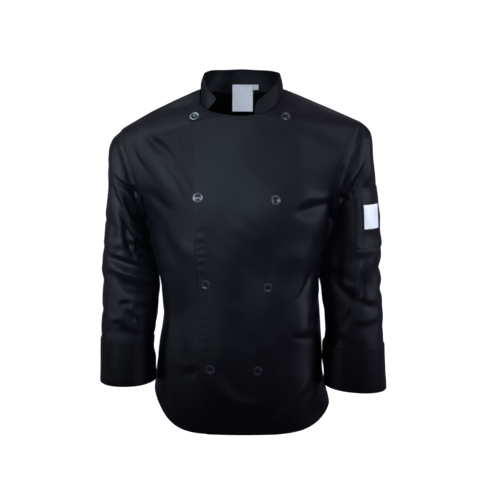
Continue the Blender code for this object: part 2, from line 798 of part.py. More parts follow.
def clear_of(tree, centre, normal):
    """Returns a button's centre raised until its whole underside is clear of the cloth."""
    across = Vector((1.0, 0.0, 0.0))
    across = (across - normal * across.dot(normal)).normalized()
    other = normal.cross(across)
    highest = 0.0
    for step in range(BUTTON_SEGMENTS):
        angle = 2 * math.pi * step / BUTTON_SEGMENTS
        rim = centre + (across * math.cos(angle) + other * math.sin(angle)) * BUTTON_RADIUS
        found = tree.ray_cast(rim + normal * BUTTON_RADIUS, -normal)[0]
        if found is not None:
            highest = max(highest, (found - centre).dot(normal))
    return centre + normal * highest


def cut_holes(item, base, turn):
    """Cuts the four thread holes through one button."""
    points = []
    faces = []
    for side_x in (-1, 1):
        for side_y in (-1, 1):
            start = len(points)
            for height in (-CUTTER_MARGIN, BUTTON_THICKNESS + CUTTER_MARGIN):
                for step in range(HOLE_SEGMENTS):
                    angle = 2 * math.pi * step / HOLE_SEGMENTS
                    local = Vector((
                        side_x * HOLE_SPACING / 2 + HOLE_RADIUS * math.cos(angle),
                        side_y * HOLE_SPACING / 2 + HOLE_RADIUS * math.sin(angle),
                        height,
                    ))
                    points.append(tuple(base + turn @ local))
            low = tuple(range(start, start + HOLE_SEGMENTS))
            high = tuple(range(start + HOLE_SEGMENTS, start + 2 * HOLE_SEGMENTS))
            faces.append(low[::-1])
            faces.append(high)
            for step in range(HOLE_SEGMENTS):
                after = (step + 1) % HOLE_SEGMENTS
                faces.append((low[step], low[after], high[after], high[step]))
    mesh = bpy.data.meshes.new(item.name + "_holes")
    mesh.from_pydata(points, [], faces)
    mesh.update()
    cutter = bpy.data.objects.new(item.name + "_holes", mesh)
    cutter.hide_render = True
    cutter.display_type = "WIRE"
    bpy.context.scene.collection.objects.link(cutter)
    cut = item.modifiers.new("holes", "BOOLEAN")
    cut.operation = "DIFFERENCE"
    cut.solver = "EXACT"
    cut.object = cutter


def build():
    """Builds the jacket."""
    clear_scene()
    cloth = finish_of("black_twill", CLOTH_COLOUR, CLOTH_ROUGHNESS)
    collar_cloth = finish_of("collar_twill", COLLAR_COLOUR, CLOTH_ROUGHNESS)
    cuff_cloth = finish_of("cuff_twill", CUFF_COLOUR, CLOTH_ROUGHNESS)
    white = finish_of("white_label", LABEL_COLOUR, LABEL_ROUGHNESS)
    black_plastic = finish_of("black_button", BUTTON_COLOUR, BUTTON_ROUGHNESS)

    halves = {side: half_panel(side, 1, HALF_COLUMNS, BODY_STEPS, ARM_STEPS) for side in (RIGHT, LEFT)}
    neck_row = BODY_STEPS + round((180.0 - NECK_START_ANGLE) / 180.0 * ARM_STEPS)
    right = front_piece("front_right", RIGHT, halves, neck_row)
    left = front_piece("front_left", LEFT, halves, neck_row)
    back = Surface("back")
    back.grid(half_panel(RIGHT, -1, HALF_COLUMNS, BODY_STEPS, ARM_STEPS))
    back.grid(half_panel(LEFT, -1, HALF_COLUMNS, BODY_STEPS, ARM_STEPS), flip=True)
    collar = Surface("collar")
    collar.grid(collar_grid(), flip=True)
    sleeve_right = sleeve_piece("sleeve_right", RIGHT)
    sleeve_left = sleeve_piece("sleeve_left", LEFT)

    sewn = [right, left, back, collar, sleeve_right, sleeve_left]
    for piece in sewn:
        piece.split()
    shared_normals(sewn)
    for piece in (right, left, back):
        piece.remember()
        move_out(piece, body_fold)
    # The sleeves and the collar follow the panels at the seams that they share.
    follow(collar, (right, left, back))
    follow(sleeve_right, (right, back))
    follow(sleeve_left, (left, back))
    shared_normals(sewn)
    before = {key: mark for mark, key in enumerate(left.keys())}
    collar_marks = {}
    for mark, key in enumerate(collar.keys()):
        if key in before and collar.points[mark][0] > 0:
            collar_marks[mark] = before[key]
    move_out(left, lap_lift)
    lift_collar(collar, collar_marks, left)

    over = left.tree()
    collar_tree = collar.tree()
    arm_tree = sleeve_left.tree()
    for whole, name, grids, rows in (
        (right, "front_right_upper", (0, 1), UPPER_ROWS),
        (right, "front_right_lower", (0, 1), LOWER_ROWS),
        (left, "front_left_upper", (0, 1), UPPER_ROWS),
        (left, "front_left_lower", (0, 1), LOWER_ROWS),
        (back, "back_right_upper", (0,), UPPER_ROWS),
        (back, "back_right_lower", (0,), LOWER_ROWS),
        (back, "back_left_upper", (1,), UPPER_ROWS),
        (back, "back_left_lower", (1,), LOWER_ROWS),
        (sleeve_right, "sleeve_right_upper", (0,), range(ELBOW_STEP)),
        (sleeve_right, "sleeve_right_lower", (0,), range(ELBOW_STEP, SLEEVE_STEPS)),
        (sleeve_left, "sleeve_left_upper", (0,), range(ELBOW_STEP)),
        (sleeve_left, "sleeve_left_lower", (0,), range(ELBOW_STEP, SLEEVE_STEPS)),
    ):
        piece = portion(whole, name, grids, rows)
        pull_in(piece)
        solid(piece, WALL, cloth)
    pull_in(collar)
    solid(collar, WALL, collar_cloth)
    for name, side in (("cuff_right", RIGHT), ("cuff_left", LEFT)):
        cuff = cuff_piece(name, side)
        shared_normals([cuff])
        solid(cuff, WALL, cuff_cloth)
    pocket_out = PATCH_GAP + POCKET_WALL
    pocket = patch_on_sleeve("sleeve_pocket", LEFT, arm_tree, POCKET, pocket_out)
    shared_normals([pocket])
    solid(pocket, POCKET_WALL, cloth)
    tag = patch_on_sleeve("sleeve_label", LEFT, arm_tree, TAG, pocket_out + PATCH_GAP + TAG_WALL)
    shared_normals([tag])
    solid(tag, TAG_WALL, white)
    for name, sizes in (("neck_label", NECK_LABEL), ("size_tab", SIZE_TAB)):
        label = inside_label(name, sizes, collar_tree)
        shared_normals([label])
        solid(label, LABEL_WALL, white)
    for step, row in enumerate(BUTTON_ROWS):
        spot = named(BUTTON_COLUMNS, row)
        hit = over.ray_cast(Vector((spot["x"], FAR_FRONT_Y, spot["z"])), Vector((0.0, 1.0, 0.0)))
        word = "right" if spot["x"] < 0 else "left"
        centre = clear_of(over, hit[0], hit[1])
        button_body("button_%s_%d" % (word, step // 2 + 1), centre, hit[1], black_plastic)


def follow(piece, others):
    """Moves a piece's seam points to where the panels that share them went."""
    moves = {}
    for other in others:
        for key, place, start in zip(other.first_keys, other.points, other.first_points):
            moves[key] = place - start
    for mark, key in enumerate(piece.keys()):
        if key in moves:
            piece.points[mark] = piece.points[mark] + moves[key]


def lift_collar(collar, marks, left):
    """Raises the collar's left end with the front that it is sewn to."""
    count = len(collar.points) // (COLLAR_STEPS + 1)
    for mark, partner in marks.items():
        move = left.points[partner] - collar.points[mark]
        for level in range(COLLAR_STEPS + 1):
            collar.points[mark + level * count] = collar.points[mark + level * count] + move


build()
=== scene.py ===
"""Cloth, sewing, buttons and studio for a double-breasted chef jacket in worn, hollow form.

Metres, +Z up.  The wearer faces -Y, so the wearer's left is +X.  The origin is the middle of the
neck.  Every piece of cloth is a thin shell on the form of its solid, with its folds, seam grooves
and stitching worked out from named sizes and short tables.
"""
import logging
import math
from dataclasses import dataclass
from enum import Enum
from typing import NamedTuple, Optional, Sequence

import bpy
import numpy as np
from mathutils import Matrix, Vector
from mathutils.bvhtree import BVHTree
from mathutils.kdtree import KDTree


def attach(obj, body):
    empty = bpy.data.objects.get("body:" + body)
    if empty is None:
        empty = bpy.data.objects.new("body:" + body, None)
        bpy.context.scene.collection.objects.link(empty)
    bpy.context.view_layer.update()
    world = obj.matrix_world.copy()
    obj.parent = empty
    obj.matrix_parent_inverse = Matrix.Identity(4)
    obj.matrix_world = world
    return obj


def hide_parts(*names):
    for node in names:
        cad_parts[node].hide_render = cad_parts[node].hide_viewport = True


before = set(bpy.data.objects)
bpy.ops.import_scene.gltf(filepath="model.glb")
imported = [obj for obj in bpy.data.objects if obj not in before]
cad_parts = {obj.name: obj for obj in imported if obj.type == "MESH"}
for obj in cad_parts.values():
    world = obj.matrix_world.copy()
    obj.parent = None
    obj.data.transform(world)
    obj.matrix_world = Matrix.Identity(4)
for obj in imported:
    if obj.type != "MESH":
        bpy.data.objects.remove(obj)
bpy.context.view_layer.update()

Array = np.ndarray
Path = tuple[Array, Array]
Triple = tuple[float, float, float]
Socket = bpy.types.NodeSocket
Material = bpy.types.Material

LOG = logging.getLogger("chef_jacket")
BODY = "root"
FAR = 1.0


class Side(Enum):
    """The wearer's own side."""

    RIGHT = -1
    LEFT = 1


class Slot(Enum):
    """The names of the material slots, one for each kind of piece."""

    BODY = "body_twill"
    COLLAR = "collar_twill"
    CUFF = "cuff_twill"
    LABEL = "label"
    BUTTON = "button"


class BodyRow(NamedTuple):
    """One level section of the body."""

    centre_z: float
    front_y: float
    back_y: float
    right_x: float
    right_z: float
    left_x: float
    left_z: float
    square: float
    bend: float
    PLAIN = ("square", "bend")


class FanRow(NamedTuple):
    """One section of the chest or the back, from the middle to a place round the armhole."""

    centre_z: float
    centre_y: float
    square: float
    PLAIN = ("square",)


class SleeveRow(NamedTuple):
    """One ring of a sleeve."""

    outer_x: float
    outer_z: float
    inner_x: float
    inner_z: float
    middle_y: float
    half_depth: float
    tuck: float


class CollarRow(NamedTuple):
    """Where the collar's top edge stands from its seam."""

    angle: float
    step_x: float
    step_y: float
    step_z: float
    PLAIN = ("angle",)


class Fold(NamedTuple):
    """A broad fold of the body: middle, half length, lean, half width, depth; face 1 is front."""

    x: float
    z: float
    half_length: float
    lean: float
    half_width: float
    depth: float
    face: int
    PLAIN = ("lean", "face")


class SleeveFold(NamedTuple):
    """A broad fold of a sleeve, by its place along and round it."""

    along: float
    around: float
    twist: float
    half_width: float
    half_reach: float
    depth: float
    PLAIN = ("along", "around", "twist", "half_width", "half_reach")


class Hug(NamedTuple):
    """A stretch where a sleeve lies against the body, by height and by place round it."""

    top: float
    bottom: float
    around: float
    half_reach: float
    depth: float
    PLAIN = ("around", "half_reach")


class Crease(NamedTuple):
    """A crease seen square on: middle, half length, lean, half width, depth and shoulder.

    A positive shoulder raises the cloth on the crease's upper side, a negative one on its lower.
    """

    a: float
    z: float
    half_length: float
    lean: float
    half_width: float
    depth: float
    shoulder: float
    PLAIN = ("lean", "shoulder")


def in_metres(kind: type, rows: Sequence[tuple]) -> tuple:
    """Makes the rows of a table whose lengths are written in millimetres.

    Args:
        kind: The rows' kind, which names its plain fields: the ones that aren't lengths.
        rows: The values of each row.

    Returns:
        The rows, in metres.
    """
    plain = getattr(kind, "PLAIN", ())
    lengths = [name not in plain for name in kind._fields]
    return tuple(
        kind(*(value / 1000 if length else value for value, length in zip(row, lengths)))
        for row in rows
    )


BODY_ROWS = in_metres(BodyRow, (
    (-713, -128, 125, 191.5, -643, 189.5, -677, 2.5, 6),
    (-640, -125, 121, 187, -595, 176.5, -614, 2.45, 4.5),
    (-560, -119, 112, 178, -535, 172.5, -540, 2.35, 3),
    (-480, -114, 100, 170.5, -465, 167, -465, 2.25, 2.4), (-400, -115, 99, 179, -395, 166, -395, 2.25, 2),
    (-330, -120, 106, 192.5, -330, 173, -330, 2.25, 2), (-270, -125, 114, 199, -272, 188, -272, 2.25, 2),
))
CHEST_ROWS = in_metres(FanRow, (
    (-270, -125, 2.25), (-245, -126, 2.25), (-218, -125, 2.25), (-188, -122, 2.2), (-155, -117, 2.2),
    (-120, -109, 2.2), (-86, -99, 2.2), (-57, -86, 2.2),
))
BLADE_ROWS = in_metres(FanRow, (
    (-270, 114, 2.25), (-242, 118, 2.3), (-210, 121, 2.35), (-174, 122, 2.4), (-134, 120, 2.4),
    (-92, 113, 2.4), (-48, 98, 2.3), (-10, 78, 2.2),
))
SLEEVE_ROWS = {
    Side.RIGHT: in_metres(SleeveRow, (
        (252, -85, 199, -272, 0, 62, 4), (273.5, -108, 203, -279, 0, 64, 2),
        (281.8, -155, 203.5, -288, 0, 66, 0), (283.8, -207, 201, -302, -1, 67, 0),
        (287.3, -250, 195.8, -325, -2, 67, 0), (291.8, -297, 189, -355, -4, 66, 0),
        (296.3, -350, 180.8, -393, -8, 64, 0), (299.3, -405, 176.5, -430, -14, 62, 0),
        (301.3, -464, 181, -472, -22, 60, 0), (300.8, -521, 189.5, -521, -32, 57, 0),
        (300.8, -571, 193, -571, -41, 54, 0), (300.8, -618, 193.5, -618, -49, 52, 0),
    )),
    Side.LEFT: in_metres(SleeveRow, (
        (251, -71, 188, -272, 0, 62, 24), (270.5, -95, 192, -279, 0, 64, 14),
        (276.5, -145, 192.5, -288, 0, 66, 6), (282.8, -200, 188, -302, -1, 67, 2),
        (287.8, -248, 181, -323, -2, 67, 0), (291.8, -297, 173.8, -352, -4, 66, 0),
        (294.8, -350, 169.2, -388, -8, 64, 0), (297.8, -405, 169.5, -430, -14, 62, 0),
        (300.8, -464, 175, -472, -22, 60, 0), (302.8, -528, 179, -524, -33, 57, 0),
        (304.3, -583, 180, -577, -43, 55, 0), (306.3, -634, 179.5, -626, -52, 54, 0),
    )),
}
COLLAR_ROWS = in_metres(CollarRow, (
    (-54, 23, 8, 21), (-72, 13, 4, 30), (-90, 8, 0, 31), (-126, 7, -3, 44), (-180, 0, 2, 50),
    (-234, -7, -3, 43), (-270, -8, 0, 30), (-288, -8, 3, 31), (-306, -9, 8, 33), (-324, -7, 12, 32),
    (-342, -1, 14, 23),
))
LAP_HEIGHTS = (-0.713, -0.550, -0.380, -0.220, -0.040)
LAP_REACHES = (0.076, 0.084, 0.091, 0.097, 0.106)
FOLD_ROWS = in_metres(Fold, (
    (-150, -125, 75, -47, 20, -6, 1), (-178, -160, 60, -52, 18, 4, 1), (-120, -180, 60, -50, 22, 3, 1),
    (150, -245, 40, 160, 20, -6, 1), (140, -345, 45, -8, 26, 6, 1), (120, -480, 70, 80, 26, 5, 1),
    (100, -560, 50, 60, 22, -4, 1), (-50, -640, 70, -40, 26, 5, 1), (110, -650, 70, 55, 26, 6, 1),
    (-110, -600, 60, -65, 24, -4, 1), (-130, -230, 70, 50, 24, -5, -1), (130, -230, 70, -50, 24, -5, -1),
    (0, -450, 110, 4, 26, -5, -1), (-80, -600, 80, 80, 26, 5, -1), (80, -600, 80, -80, 26, 5, -1),
))
SLEEVE_FOLD_ROWS = {
    Side.RIGHT: in_metres(SleeveFold, (
        (0.24, 60, 0.001, 0.03, 55, -4), (0.36, 120, 0.0012, 0.032, 60, -5),
        (0.5, 110, -0.0008, 0.034, 70, 4), (0.6, 130, 0.001, 0.03, 60, -5),
        (0.52, 280, 0.0008, 0.036, 60, -4),
    )),
    Side.LEFT: in_metres(SleeveFold, (
        (0.24, 60, -0.001, 0.03, 55, -4), (0.55, 60, 0.001, 0.034, 60, 4),
        (0.56, 130, -0.001, 0.032, 60, -6), (0.66, 80, 0.0012, 0.03, 60, -4),
        (0.52, 280, 0.0008, 0.036, 60, -4),
    )),
}
HUG_ROWS = {
    Side.RIGHT: in_metres(Hug, (
        (-225, -375, 204, 20, 4.5), (-345, -415, 204, 20, 2.4), (-545, -720, 192, 30, 6),
    )),
    Side.LEFT: in_metres(Hug, (
        (-225, -425, 204, 20, 6.2), (-515, -600, 192, 30, 5.8), (-570, -720, 192, 30, 1.8),
    )),
}
HUG_FADE = 0.030
# How far along and round a sleeve the places lie that its outward direction comes from.
NEAR_ALONG = 0.01
NEAR_ROUND = 2.0
# A section that turns less than this is a straight line.
LEAST_REACH = 0.002

# Creases on the front of the body, by their place across (x) and up (z).
FRONT_CREASES = in_metres(Crease, (
    (-172, -115, 43, -43, 9, -3, 0.5), (-130, -165, 41, -56, 8, -3, 0.5),
    (-146, -172, 42, -52, 8, -2.4, 0.4), (-221, -133, 34, -59, 9, -2.4, 0.4),
    (-125, -112, 13, -46, 6, -1.2, 0.3), (-169, -230, 30, -51, 13, -2, 0.4),
    (-156, -317, 40, -72, 15, -2.4, 0.3), (148, -243, 31, -167, 10, -5, 0.6),
    (152, -300, 34, -122, 18, 1.6, 0), (138, -397, 36, -115, 7, -3, 0.6),
    (131, -477, 30, -104, 12, 2.2, 0.2), (134, -497, 24, -6, 20, 4, 0), (133, -516, 26, -10, 8, -3.2, 0),
    (167, -571, 38, -86, 6, 2.4, 0), (161, -630, 28, -108, 6, 2.4, 0), (-40, -616, 32, -51, 13, 3, -0.5),
    (7, -643, 36, -9, 13, 3, -0.5), (82, -670, 28, 48, 12, 3, -0.4), (120, -625, 37, 50, 12, 3, -0.4),
    (-105, -586, 17, -135, 10, -2.2, 0.4), (-29, -207, 65, -81, 30, -1.6, 0.2),
    (29, -365, 64, -79, 30, -1.8, 0.2), (-1, -503, 40, -56, 19, -1.8, 0.3),
    (-133, -489, 54, -95, 15, -2.2, 0.3), (60, -545, 28, -132, 15, -0.9, 0.4),
))

# Creases on the back of the body.
BACK_CREASES = in_metres(Crease, (
    (-165, -165, 50, 52, 10, -3.4, 0.5), (-140, -215, 46, 47, 12, -2.6, 0.4),
    (170, -160, 48, -55, 10, -3.2, 0.5), (136, -222, 50, -45, 13, -2.8, 0.4),
    (0, -120, 70, 3, 16, -2, 0.4), (-60, -330, 70, 14, 15, -3, 0.5), (70, -372, 75, -10, 14, -3.4, 0.5),
    (-20, -425, 90, 5, 13, -3.6, 0.5), (100, -470, 55, 18, 12, -2.4, 0.4),
    (-110, -465, 60, -16, 14, -2.8, 0.4), (-60, -590, 70, 82, 16, 3, -0.4),
    (40, -620, 65, -84, 17, 2.8, 0.4), (125, -600, 60, -76, 14, -2.8, 0.4),
    (-130, -620, 55, 74, 15, -2.6, 0.4),
))

# Creases on the body's two sides, by their place forward (y) and up (z).
SIDE_CREASES = {
    Side.RIGHT: in_metres(Crease, (
        (10, -330, 50, 35, 11, -3, 0.5), (-30, -400, 50, -30, 11, -2.8, 0.4),
        (20, -470, 55, 20, 12, -3, 0.5), (-10, -570, 50, 75, 13, -2.4, 0.4),
    )),
    Side.LEFT: in_metres(Crease, (
        (-20, -325, 45, 40, 10, -2.8, 0.5), (20, -390, 55, -25, 12, -3, 0.4),
        (-30, -455, 45, 28, 11, -2.6, 0.4), (10, -560, 55, 70, 13, -2.6, 0.4),
    )),
}

# Creases on the fronts of the sleeves.
ARM_FRONT_CREASES = {
    Side.RIGHT: in_metres(Crease, (
        (-235, -203, 29, -33, 6, -3, 0.5), (-225, -253, 44, -61, 6, -3.6, 0.6),
        (-254, -276, 58, -77, 8, 2.4, -0.3), (-236, -315, 30, -75, 6, -3, 0.4),
        (-220, -310, 18, 2, 6, 2.2, -0.4), (-209, -336, 16, -13, 14, -4, 0.3),
        (-255, -321, 14, 16, 13, 2.4, 0), (-243, -360, 34, -19, 8, -4, 0.5),
        (-241, -380, 34, -18, 8, 3.6, -0.5), (-220, -412, 34, -11, 9, -5, 0.6),
        (-212, -440, 26, -3, 11, 1.8, -0.2), (-245, -445, 12, 11, 7, -3, 0.3),
        (-258, -475, 17, 11, 10, 2.6, -0.3), (-234, -471, 18, -63, 7, -3.2, 0.4),
        (-243, -505, 30, -8, 9, -2, 0.4),
    )),
    Side.LEFT: in_metres(Crease, (
        (237, -191, 43, -120, 7, -3.6, 0.5), (249, -105, 26, -93, 7, 2.4, -0.3),
        (261, -170, 39, -93, 8, 2.4, -0.3), (209, -227, 10, 2, 7, -4.2, 0.3),
        (257, -336, 29, 0, 13, 2.4, -0.2), (239, -388, 35, -101, 6, 3.2, -0.5),
        (212, -418, 24, -40, 9, -4.6, 0.5), (219, -475, 18, -113, 6, -3.6, 0.4),
        (213, -506, 8, -26, 8, 2.8, 0), (198, -326, 75, -90, 13, -3, 0.2),
        (254, -404, 34, -98, 8, -2.6, 0.4), (258, -447, 30, -20, 9, -2.6, 0.4),
        (262, -478, 25, 9, 9, 2.2, -0.3),
    )),
}

# Creases on the backs of the sleeves.
ARM_BACK_CREASES = {
    Side.RIGHT: in_metres(Crease, (
        (-225, -220, 45, 58, 10, -3.2, 0.5), (-240, -300, 40, 30, 10, -4, 0.5),
        (-235, -350, 42, -12, 10, -4.6, 0.5), (-240, -392, 40, 16, 10, -3.6, 0.5),
        (-245, -460, 40, 40, 11, -2.6, 0.4),
    )),
    Side.LEFT: in_metres(Crease, (
        (222, -225, 45, -60, 10, -3.2, 0.5), (238, -305, 42, -26, 10, -4, 0.5),
        (232, -356, 40, 10, 11, -4.4, 0.5), (240, -405, 42, -20, 10, -3.4, 0.5),
        (245, -470, 40, -42, 11, -2.6, 0.4),
    )),
}

# Creases on the outer sides of the sleeves, by their place forward (y) and up (z).
ARM_OUTER_CREASES = {
    Side.RIGHT: in_metres(Crease, (
        (-10, -270, 40, 25, 10, -2.6, 0.4), (10, -345, 40, -18, 9, -3.2, 0.5),
        (-15, -400, 40, 22, 10, -3.4, 0.5), (-25, -470, 36, -35, 10, -2.4, 0.4),
    )),
    Side.LEFT: in_metres(Crease, (
        (20, -260, 36, 40, 10, -2.2, 0.4), (0, -370, 40, 15, 10, -3.4, 0.5),
        (-20, -425, 38, -24, 9, -3, 0.5), (-20, -490, 36, 38, 10, -2.2, 0.4),
    )),
}


@dataclass(frozen=True)
class Sizes:
    """The jacket's shared sizes, in metres and degrees."""

    wall: float = 0.0018
    cloth: float = 0.0013
    lay_gap: float = 0.0004
    neck_half_width: float = 0.087
    neck_front_y: float = -0.086
    neck_back_y: float = 0.078
    neck_side_z: float = -0.002
    neck_front_z: float = -0.057
    neck_back_z: float = -0.010
    neck_curve_right: float = 0.5
    neck_curve_left: float = 1.0
    neck_start: float = 75.0
    sleeve_square: float = 2.15
    back_tuck: float = 0.004
    collar_start: float = -54.0
    collar_end: float = -342.0
    collar_bow: float = 0.0015
    collar_round: float = 0.012
    lap_top_right: float = 72.0
    lap_top_left: float = 0.0
    lap_clear: float = 0.004
    shoulder_bow: float = 0.003
    shoulder_bow_angle: float = 60.0
    fan_bend: float = 2.0
    fold_rise: float = 19.0
    lift: float = 0.0022
    lift_full_x: float = 0.112
    lift_end_x: float = 0.168
    lift_full_z: float = -0.055
    lift_end_z: float = -0.036
    sleeve_end: float = 0.994
    cuff_start_right: float = 0.826
    cuff_start_left: float = 0.836
    cuff_flare: float = 0.0012


@dataclass(frozen=True)
class Steps:
    """How finely the cloth is divided."""

    body: int = 128
    arm: int = 96
    half: int = 72
    lap: int = 32
    dense: int = 600
    collar: int = 16
    collar_even: int = 14
    sleeve: int = 144
    cuff: int = 26
    coarse: int = 8
    relax: int = 12


SIZES = Sizes()
STEPS = Steps()


def curve_at(rows: Sequence[Sequence[float]], place: Array) -> Array:
    """Reads a table of evenly spaced rows on a smooth curve through them.

    Args:
        rows: The table.
        place: Places between the rows, counted from 0.

    Returns:
        One row of values for each place.
    """
    table = np.asarray(rows, dtype=float)
    last = len(table) - 1
    place = np.clip(np.asarray(place, dtype=float), 0.0, last)
    step = np.minimum(place.astype(int), last - 1)
    part = (place - step)[..., None]
    padded = np.vstack((2 * table[0] - table[1], table, 2 * table[-1] - table[-2]))
    before, here, after, beyond = (padded[step + offset] for offset in range(4))
    linear = (after - before) * part
    square = (2 * before - 5 * here + 4 * after - beyond) * part ** 2
    cube = (3 * here - before - 3 * after + beyond) * part ** 3
    return 0.5 * (2 * here + linear + square + cube)


def ease(value: Array) -> Array:
    """Returns a soft step from 0 to 1."""
    value = np.clip(value, 0.0, 1.0)
    return value * value * (3 - 2 * value)


def unit(vectors: Array) -> Array:
    """Returns vectors, x, y and z on the last axis, scaled to length 1."""
    return vectors / np.maximum(np.linalg.norm(vectors, axis=-1, keepdims=True), 1e-12)


def run_length(line: Array) -> Array:
    """Returns how far along a line each of its points lies."""
    return np.concatenate(((0.0,), np.cumsum(np.linalg.norm(np.diff(line, axis=0), axis=1))))


def read_line(wanted: Array, length: Array, line: Array) -> Array:
    """Returns the points of a line at some lengths, when its own points lie at known ones."""
    return np.stack([np.interp(wanted, length, line[:, axis]) for axis in range(3)], axis=1)


def relaxed(grid: Array, times: int) -> Array:
    """Evens out a grid of points and keeps its borders.

    Args:
        grid: Rows and columns of points.
        times: How often each point moves to the mean of its neighbours.

    Returns:
        The evened grid.
    """
    grid = grid.copy()
    for _ in range(times):
        rows = (grid[:-2, 1:-1] + grid[2:, 1:-1]) / 2
        grid[1:-1, 1:-1] = (rows + (grid[1:-1, :-2] + grid[1:-1, 2:]) / 2) / 2
    return grid


@dataclass(frozen=True)
class Form:
    """The jacket's smooth outer form, as functions of its tables."""

    sizes: Sizes
    steps: Steps

    def neckline(self, side: Side, angle: Array) -> Array:
        """Returns the neck seam at angles from the centre front (0) to the centre back (180).

        Args:
            side: The wearer's side.
            angle: Angles in degrees.

        Returns:
            A point for each angle.
        """
        s = self.sizes
        turn = np.radians(np.asarray(angle, dtype=float))
        forward = np.cos(turn)
        curve = s.neck_curve_right if side is Side.RIGHT else s.neck_curve_left
        ahead = np.maximum(forward, 0.0)
        behind = np.maximum(-forward, 0.0)
        across = side.value * s.neck_half_width * np.sin(turn)
        depth = s.neck_front_y * ahead + s.neck_back_y * behind
        drop = (s.neck_front_z - s.neck_side_z) * ahead ** curve
        rise = (s.neck_back_z - s.neck_side_z) * behind
        return np.stack((across, depth, s.neck_side_z + drop + rise), axis=-1)

    def sleeve(self, side: Side, along: Array, angle: Array) -> Array:
        """Returns a sleeve's outside.

        Args:
            side: The wearer's side.
            along: Places from the armhole (0) to the wrist (1).
            angle: Angles round it in degrees, from outer (0) to front (90).

        Returns:
            A point for each pair.
        """
        rows = SLEEVE_ROWS[side]
        along, angle = np.broadcast_arrays(np.asarray(along, float), np.asarray(angle, float))
        ring = np.moveaxis(curve_at(rows, along * (len(rows) - 1)), -1, 0)
        outer_x, outer_z, inner_x, inner_z, middle_y, half_depth, tuck = ring
        turn = np.radians(angle)
        power = 2 / self.sizes.sleeve_square
        cos = np.sign(np.cos(turn)) * np.abs(np.cos(turn)) ** power
        sin = np.sign(np.sin(turn)) * np.abs(np.sin(turn)) ** power
        inset = tuck * np.sin(turn) ** 2
        inset = np.where(sin < 0, np.minimum(inset, self.sizes.back_tuck), inset)
        out = (outer_x + inner_x) / 2 + (outer_x - inner_x) / 2 * cos - inset
        height = (outer_z + inner_z) / 2 + (outer_z - inner_z) / 2 * cos
        return np.stack((side.value * out, middle_y - half_depth * sin, height), axis=-1)

    def sleeve_fold(self, side: Side, along: Array, angle: Array) -> Array:
        """Returns how far a sleeve's broad folds move its outside.

        Args:
            side: The wearer's side.
            along: Places along the sleeve.
            angle: Angles round it, in degrees.

        Returns:
            A distance for each pair.
        """
        total = np.zeros(np.broadcast(along, angle).shape)
        for fold in SLEEVE_FOLD_ROWS[side]:
            turn = (angle - fold.around + 180) % 360 - 180
            line = along - fold.along - fold.twist * turn
            spread = np.exp(-(line / fold.half_width) ** 2)
            total += fold.depth * spread * np.exp(-(turn / fold.half_reach) ** 2)
        height = self.sleeve(side, along, angle)[..., 2]
        for hug in HUG_ROWS[side]:
            turn = (angle - hug.around + 180) % 360 - 180
            window = ease((hug.top - height) / HUG_FADE) * ease((height - hug.bottom) / HUG_FADE)
            total += hug.depth * window * np.exp(-(turn / hug.half_reach) ** 2)
        return total * np.clip(np.asarray(along) * self.sizes.fold_rise, 0.0, 1.0)

    def sleeve_out(self, side: Side, along: Array, angle: Array, out: Array) -> Array:
        """Returns places moved out from a sleeve's outside, broad folds included.

        Args:
            side: The wearer's side.
            along: Places along the sleeve.
            angle: Angles round it, in degrees.
            out: How far out each place lies.

        Returns:
            A point for each pair.
        """
        above = self.sleeve(side, np.maximum(along - NEAR_ALONG, 0.0), angle)
        below = self.sleeve(side, np.minimum(along + NEAR_ALONG, 1.0), angle)
        after, before = (self.sleeve(side, along, angle + turn) for turn in (NEAR_ROUND, -NEAR_ROUND))
        normal = unit(np.cross(after - before, below - above) * side.value)
        move = out + self.sleeve_fold(side, along, angle)
        return self.sleeve(side, along, angle) + normal * move[..., None]

    def section(self, inner: Sequence[float], outer: Sequence[float], square: float, bend: float,
                bow: float, split: float) -> Array:
        """Returns one section of the body, with a column at the lap's edge.

        Args:
            inner: The point at the middle.
            outer: The point at the side.
            square: How square the section's corner is.
            bend: How late its height changes.
            bow: How far it rises between its ends.
            split: The lap's reach from the middle.

        Returns:
            The section's points.
        """
        inner = np.asarray(inner, dtype=float)
        outer = np.asarray(outer, dtype=float)
        ratio = float(np.clip(outer[1] / inner[1], 0.0, 1.0)) if abs(inner[1]) > 1e-6 else 1.0
        reach = (1 - min(ratio ** square, 1.0)) ** (1 / square)
        places = np.linspace(0, 1, self.steps.dense)
        if reach < LEAST_REACH:
            share = places
            depth = inner[1] + (outer[1] - inner[1]) * places
        else:
            turn = places * math.asin(min(reach ** (square / 2), 1.0))
            share = np.sin(turn) ** (2 / square) / reach
            depth = inner[1] * np.maximum(np.cos(turn), 0.0) ** (2 / square)
            depth[-1] = outer[1]
        across = inner[0] + (outer[0] - inner[0]) * share
        height = inner[2] + (outer[2] - inner[2]) * share ** bend + bow * np.sin(math.pi * share)
        line = np.stack((across, depth, height), axis=1)
        line[-1] = outer
        length = run_length(line)
        cut = float(np.interp(split, np.abs(line[:, 0]), length))
        past = np.linspace(cut, length[-1], self.steps.half - self.steps.lap + 1)[1:]
        wanted = np.concatenate((np.linspace(0, cut, self.steps.lap + 1), past))
        return read_line(wanted, length, line)

